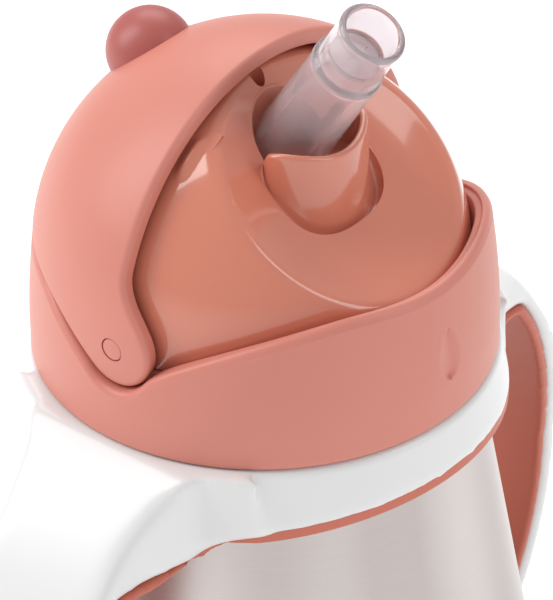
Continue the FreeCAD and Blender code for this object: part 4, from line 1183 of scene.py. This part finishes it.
@dataclass
class Cup:
    """The steel body, its foot and the collar with its two handles."""

    wall: float = 0.8
    foot_radius: float = 40.5
    foot_height: float = 2.4
    foot_power: float = 2.2
    belly_radius: float = 44.5
    belly_low: float = 12.0
    belly_high: float = 20.5
    cone_radius: float = 42.4
    cone_low: float = 45.5
    shoulder_radius: float = 34.0
    shoulder_low: float = 95.0
    shoulder: float = 99.2
    neck: float = 30.2
    lip: float = 111.2
    ring_top: float = 103.7
    ring_top_radius: float = 37.3
    ring_low_radius: float = 39.3
    ring_side_edge: float = 92.0
    edge_slope: float = 0.1616
    sweep_start: float = 23.5
    sweep: float = 11.0
    hem_end: float = 60.0
    hem_show: float = 0.7

    def side(self, height: Array) -> Array:
        """The body's outer radius at a height.

        The foot curls in as d^2.2, the belly is upright, a parabola leads into the cone, and the
        cone runs straight to the shoulder.
        """
        fall = (self.cone_radius - self.shoulder_radius) / (self.shoulder_low - self.cone_low)
        curl = np.maximum(self.belly_low - height, 0) / (self.belly_low - self.foot_height)
        bend = np.clip((height - self.belly_high) / (self.cone_low - self.belly_high), 0, 1)
        return (self.belly_radius - (self.belly_radius - self.foot_radius) * curl ** self.foot_power
                - (self.belly_radius - self.cone_radius) * bend ** 2
                - fall * np.maximum(height - self.cone_low, 0))

    def body_profile(self) -> Array:
        """The shell's closed profile: up the outside, over the neck's lip and down the inside."""
        z = np.linspace(self.foot_height + 0.2, self.shoulder_low, 90)
        side = np.stack([self.side(z), z], -1)
        ledge = self.shoulder - 1.2
        bore = self.neck - self.wall
        top = filleted([(self.shoulder_radius - 0.4, self.shoulder_low + 1.6, 0),
                        (self.shoulder_radius - 1.0, self.shoulder, 1.6), (self.neck, self.shoulder, 1.0),
                        (self.neck, self.lip, 0.4), (bore, self.lip, 0.3),
                        (bore, ledge, 1.0), (self.shoulder_radius - 2.0, ledge, 0.8)])
        inner = side[::-1] - [self.wall, 0]
        base = np.array([(self.foot_radius - 0.9, self.foot_height + 0.2),
                         (self.foot_radius - 0.5, self.foot_height)])
        return np.concatenate([side, top, inner, base])

    @staticmethod
    def handle_root(points: Array) -> Array:
        """Weight of the handles' roots, where they grow out of the collar, fading at its top edge."""
        reach = np.hypot(points[:, 0], points[:, 1])
        return (ease(reach, 36.4, 38.2) * ease(points[:, 2], 74, 84)
                * (1 - ease(points[:, 2], 100.5, 102.8)))

    def hem(self, side: float) -> Patch:
        """The lining's edge that shows below the collar between the handles.

        Seen from the side the collar's edge falls as a straight line and then as a quarter
        circle of 11 mm; the hem's section is carried round below it and closes at both ends.
        """
        limit = math.radians(self.hem_end)
        angle = np.linspace(-limit, limit, 181)
        y = (self.ring_low_radius - 0.5) * np.cos(angle)
        bend = np.clip(self.sweep_start - y, 0, self.sweep - 0.1)
        edge = (self.ring_side_edge + self.edge_slope * np.maximum(y - self.sweep_start, 0)
                - (self.sweep - np.sqrt(self.sweep ** 2 - bend * bend)))
        spread = (self.ring_low_radius - self.ring_top_radius) / (self.ring_top - self.ring_side_edge)
        radius = np.minimum(self.ring_top_radius + (self.ring_top - edge) * spread, self.ring_low_radius)
        size = np.sqrt(1 - (angle / limit) ** 16)
        section = filleted([(0.0, 1.2, 0), (0.8, 1.2, 0), (0.8, -self.hem_show, 0.4),
                            (-1.05, -self.hem_show, 0.3), (-1.05, 1.2, 0), (0.0, 1.2, 0)])[:-1]
        reach = radius - 1.3 + size * section[:, :1]
        height = edge + size * section[:, 1:]
        return Patch(np.stack([side * reach * np.sin(angle), -side * reach * np.cos(angle), height], -1),
                     wrap_rows=True)

    def pieces(self) -> None:
        """Build and set the body's pieces."""
        body = turned("steel_body", self.body_profile(), 256, 40)
        settle(body, Body.BOTTLE, BODY_STEEL, ["steel_outer_shell"])
        r, h = self.foot_radius, self.foot_height
        # A flat ring with one narrow groove and a bevelled inner edge.
        foot = filleted([(r - 3.5, 0.0, 0), (r - 1.0, 0.0, 0.6), (r - 0.3, h / 2, 0.5), (r - 0.6, h, 0.3),
                         (r - 7.0, h, 0.2), (r - 7.0, 0.5, 0.3), (r - 6.0, 0.0, 0.3), (r - 4.9, 0.0, 0.2),
                         (r - 4.7, 0.5, 0.15), (r - 4.3, 0.5, 0.15), (r - 4.1, 0.0, 0.1), (r - 3.5, 0.0, 0)])
        foot_ring = turned("foot_ring", foot, 192, 50)
        settle(foot_ring, Body.BOTTLE, GREY_SILICONE, ["non_slip_foot_ring"])
        voxel = 0.55
        collar = from_node("handle_collar", "handle_ring", voxel, 12, self.handle_root)
        settle(collar, Body.BOTTLE, WHITE_SHELL, ["handle_ring"])
        lining = from_node("handle_grip_lining", "handle_lining", voxel, 8)
        settle(lining, Body.BOTTLE, MATT_LINING, ["handle_lining"])
        for name, side in (("collar_hem_front", 1.0), ("collar_hem_back", -1.0)):
            settle(build(name, [self.hem(side)], 50), Body.BOTTLE, MATT_LINING)


def dress_hidden() -> None:
    """Give the nodes that stay as they are their finishes."""
    hidden = {
        "steel_inner_vessel": INSIDE_STEEL,
        "steel_base_plate": BODY_STEEL,
        "vacuum_getter": INSIDE_STEEL,
        "lid_gasket": GREY_SILICONE,
        "vent_valve": MILKY_SILICONE,
        "straw_nozzle": CLEAR_PLASTIC,
        "straw_tube": CLEAR_PLASTIC,
    }
    for node, finish in hidden.items():
        FINISHES.dress(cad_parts[node], finish)
        LOG.info("%s: kept node", node)


# --- the studio ----------------------------------------------------------------------------


@dataclass
class Studio:
    """A pale floor, softboxes and the camera, all placed round the cup's lid."""

    turn: float = -50.053
    rise: float = 34.312
    roll: float = 1.01
    distance: float = 711.181
    aside: float = 1.854
    above: float = 4.915
    target: float = 104.0
    lens: float = 270.0

    def axes(self) -> tuple[Vector, Vector, Vector]:
        """The level view's right, up and back directions."""
        a, e = math.radians(self.turn), math.radians(self.rise)
        back = Vector((math.sin(a) * math.cos(e), -math.cos(a) * math.cos(e), math.sin(e)))
        right = Vector((math.cos(a), math.sin(a), 0))
        return right, back.cross(right), back

    def camera(self) -> None:
        """Place the camera: back along the view, a little aside and above, rolled about the view."""
        right, up, back = self.axes()
        r = math.radians(self.roll)
        x, y = right * math.cos(r) - up * math.sin(r), right * math.sin(r) + up * math.cos(r)
        data = bpy.data.cameras.new("camera")
        data.sensor_fit, data.sensor_height, data.lens = "VERTICAL", 36.0, self.lens
        data.clip_start, data.clip_end = 0.05, 50.0
        camera = bpy.data.objects.new("camera", data)
        place = back * self.distance + right * self.aside + up * self.above + Vector((0, 0, self.target))
        turn = Matrix((x, y, back)).transposed().to_4x4()
        camera.matrix_world = Matrix.Translation(place * MM) @ turn
        bpy.context.scene.collection.objects.link(camera)
        bpy.context.scene.camera = camera

    def softbox(self, name: str, place: tuple[float, float, float], size: tuple[float, float],
                power: float) -> None:
        """Hang a softbox.

        Args:
            name: its name.
            place: its distances to the right, up and back of the lid in metres.
            size: its width and height in metres.
            power: its power in watts.
        """
        right, up, back = self.axes()
        aim = Vector((0, 0, 0.125))
        where = aim + right * place[0] + up * place[1] + back * place[2]
        data = bpy.data.lights.new(name, "AREA")
        data.shape, data.size, data.size_y, data.energy = "RECTANGLE", size[0], size[1], power
        light = bpy.data.objects.new(name, data)
        facing = (where - aim).to_track_quat("Z", "Y").to_matrix().to_4x4()
        light.matrix_world = Matrix.Translation(where) @ facing
        bpy.context.scene.collection.objects.link(light)

    def floor(self) -> None:
        """Lay a pale floor that is 8 m wide."""
        mesh = bpy.data.meshes.new("floor")
        mesh.from_pydata([(-4, -4, 0), (4, -4, 0), (4, 4, 0), (-4, 4, 0)], [], [(0, 1, 2, 3)])
        floor = bpy.data.objects.new("floor", mesh)
        bpy.context.scene.collection.objects.link(floor)
        # Matt white paper: it spreads the light evenly and shows only a soft contact shadow.
        material, tree = new_tree("matt_white_paper")
        place = add(tree, "ShaderNodeTexCoord")
        fibre = add(tree, "ShaderNodeTexNoise", {"in:Scale": per_metre(3)},
                    {"Vector": place.outputs["Object"]})
        tone = add(tree, "ShaderNodeMix", {"data_type": "RGBA"}, {"Factor": fibre.outputs["Fac"]})
        tone.inputs[6].default_value = linear("FAFAFA")
        tone.inputs[7].default_value = linear("FDFDFD")
        shader = add(tree, "ShaderNodeBsdfPrincipled",
                     {"in:Roughness": 0.9, "in:Emission Strength": 0.2, "in:Emission Color": (1, 1, 1, 1)},
                     {"Base Color": tone.outputs[2]})
        add(tree, "ShaderNodeOutputMaterial", None, {"Surface": shader.outputs["BSDF"]})
        mesh.materials.append(material)

    def build(self) -> None:
        """Set up the whole studio."""
        self.camera()
        self.floor()
        self.softbox("key_softbox", (-0.75, 0.55, 0.35), (0.45, 0.9), 6.0)
        self.softbox("fill_softbox", (0.85, 0.25, 0.55), (0.3, 0.8), 2.0)
        self.softbox("top_softbox", (0.05, 0.9, -0.15), (0.7, 0.5), 3.0)
        world = bpy.data.worlds.new("studio")
        world.use_nodes = True
        world.node_tree.nodes.clear()
        light = add(world.node_tree, "ShaderNodeBackground", {"in:Color": (1, 1, 1, 1), "in:Strength": 0.55})
        add(world.node_tree, "ShaderNodeOutputWorld", None, {"Surface": light.outputs["Background"]})
        bpy.context.scene.world = world
        bpy.context.scene.view_settings.view_transform = "Standard"


def main() -> None:
    """Build the cup's sub-assemblies and the studio in order."""
    logging.basicConfig(level=logging.INFO, format="%(name)s %(message)s")
    Cup().pieces()
    Barrel().pieces()
    Dome().pieces()
    Straw().pieces()
    Hood().pieces()
    dress_hidden()
    Studio().build()


if __name__ == "__main__":
    main()
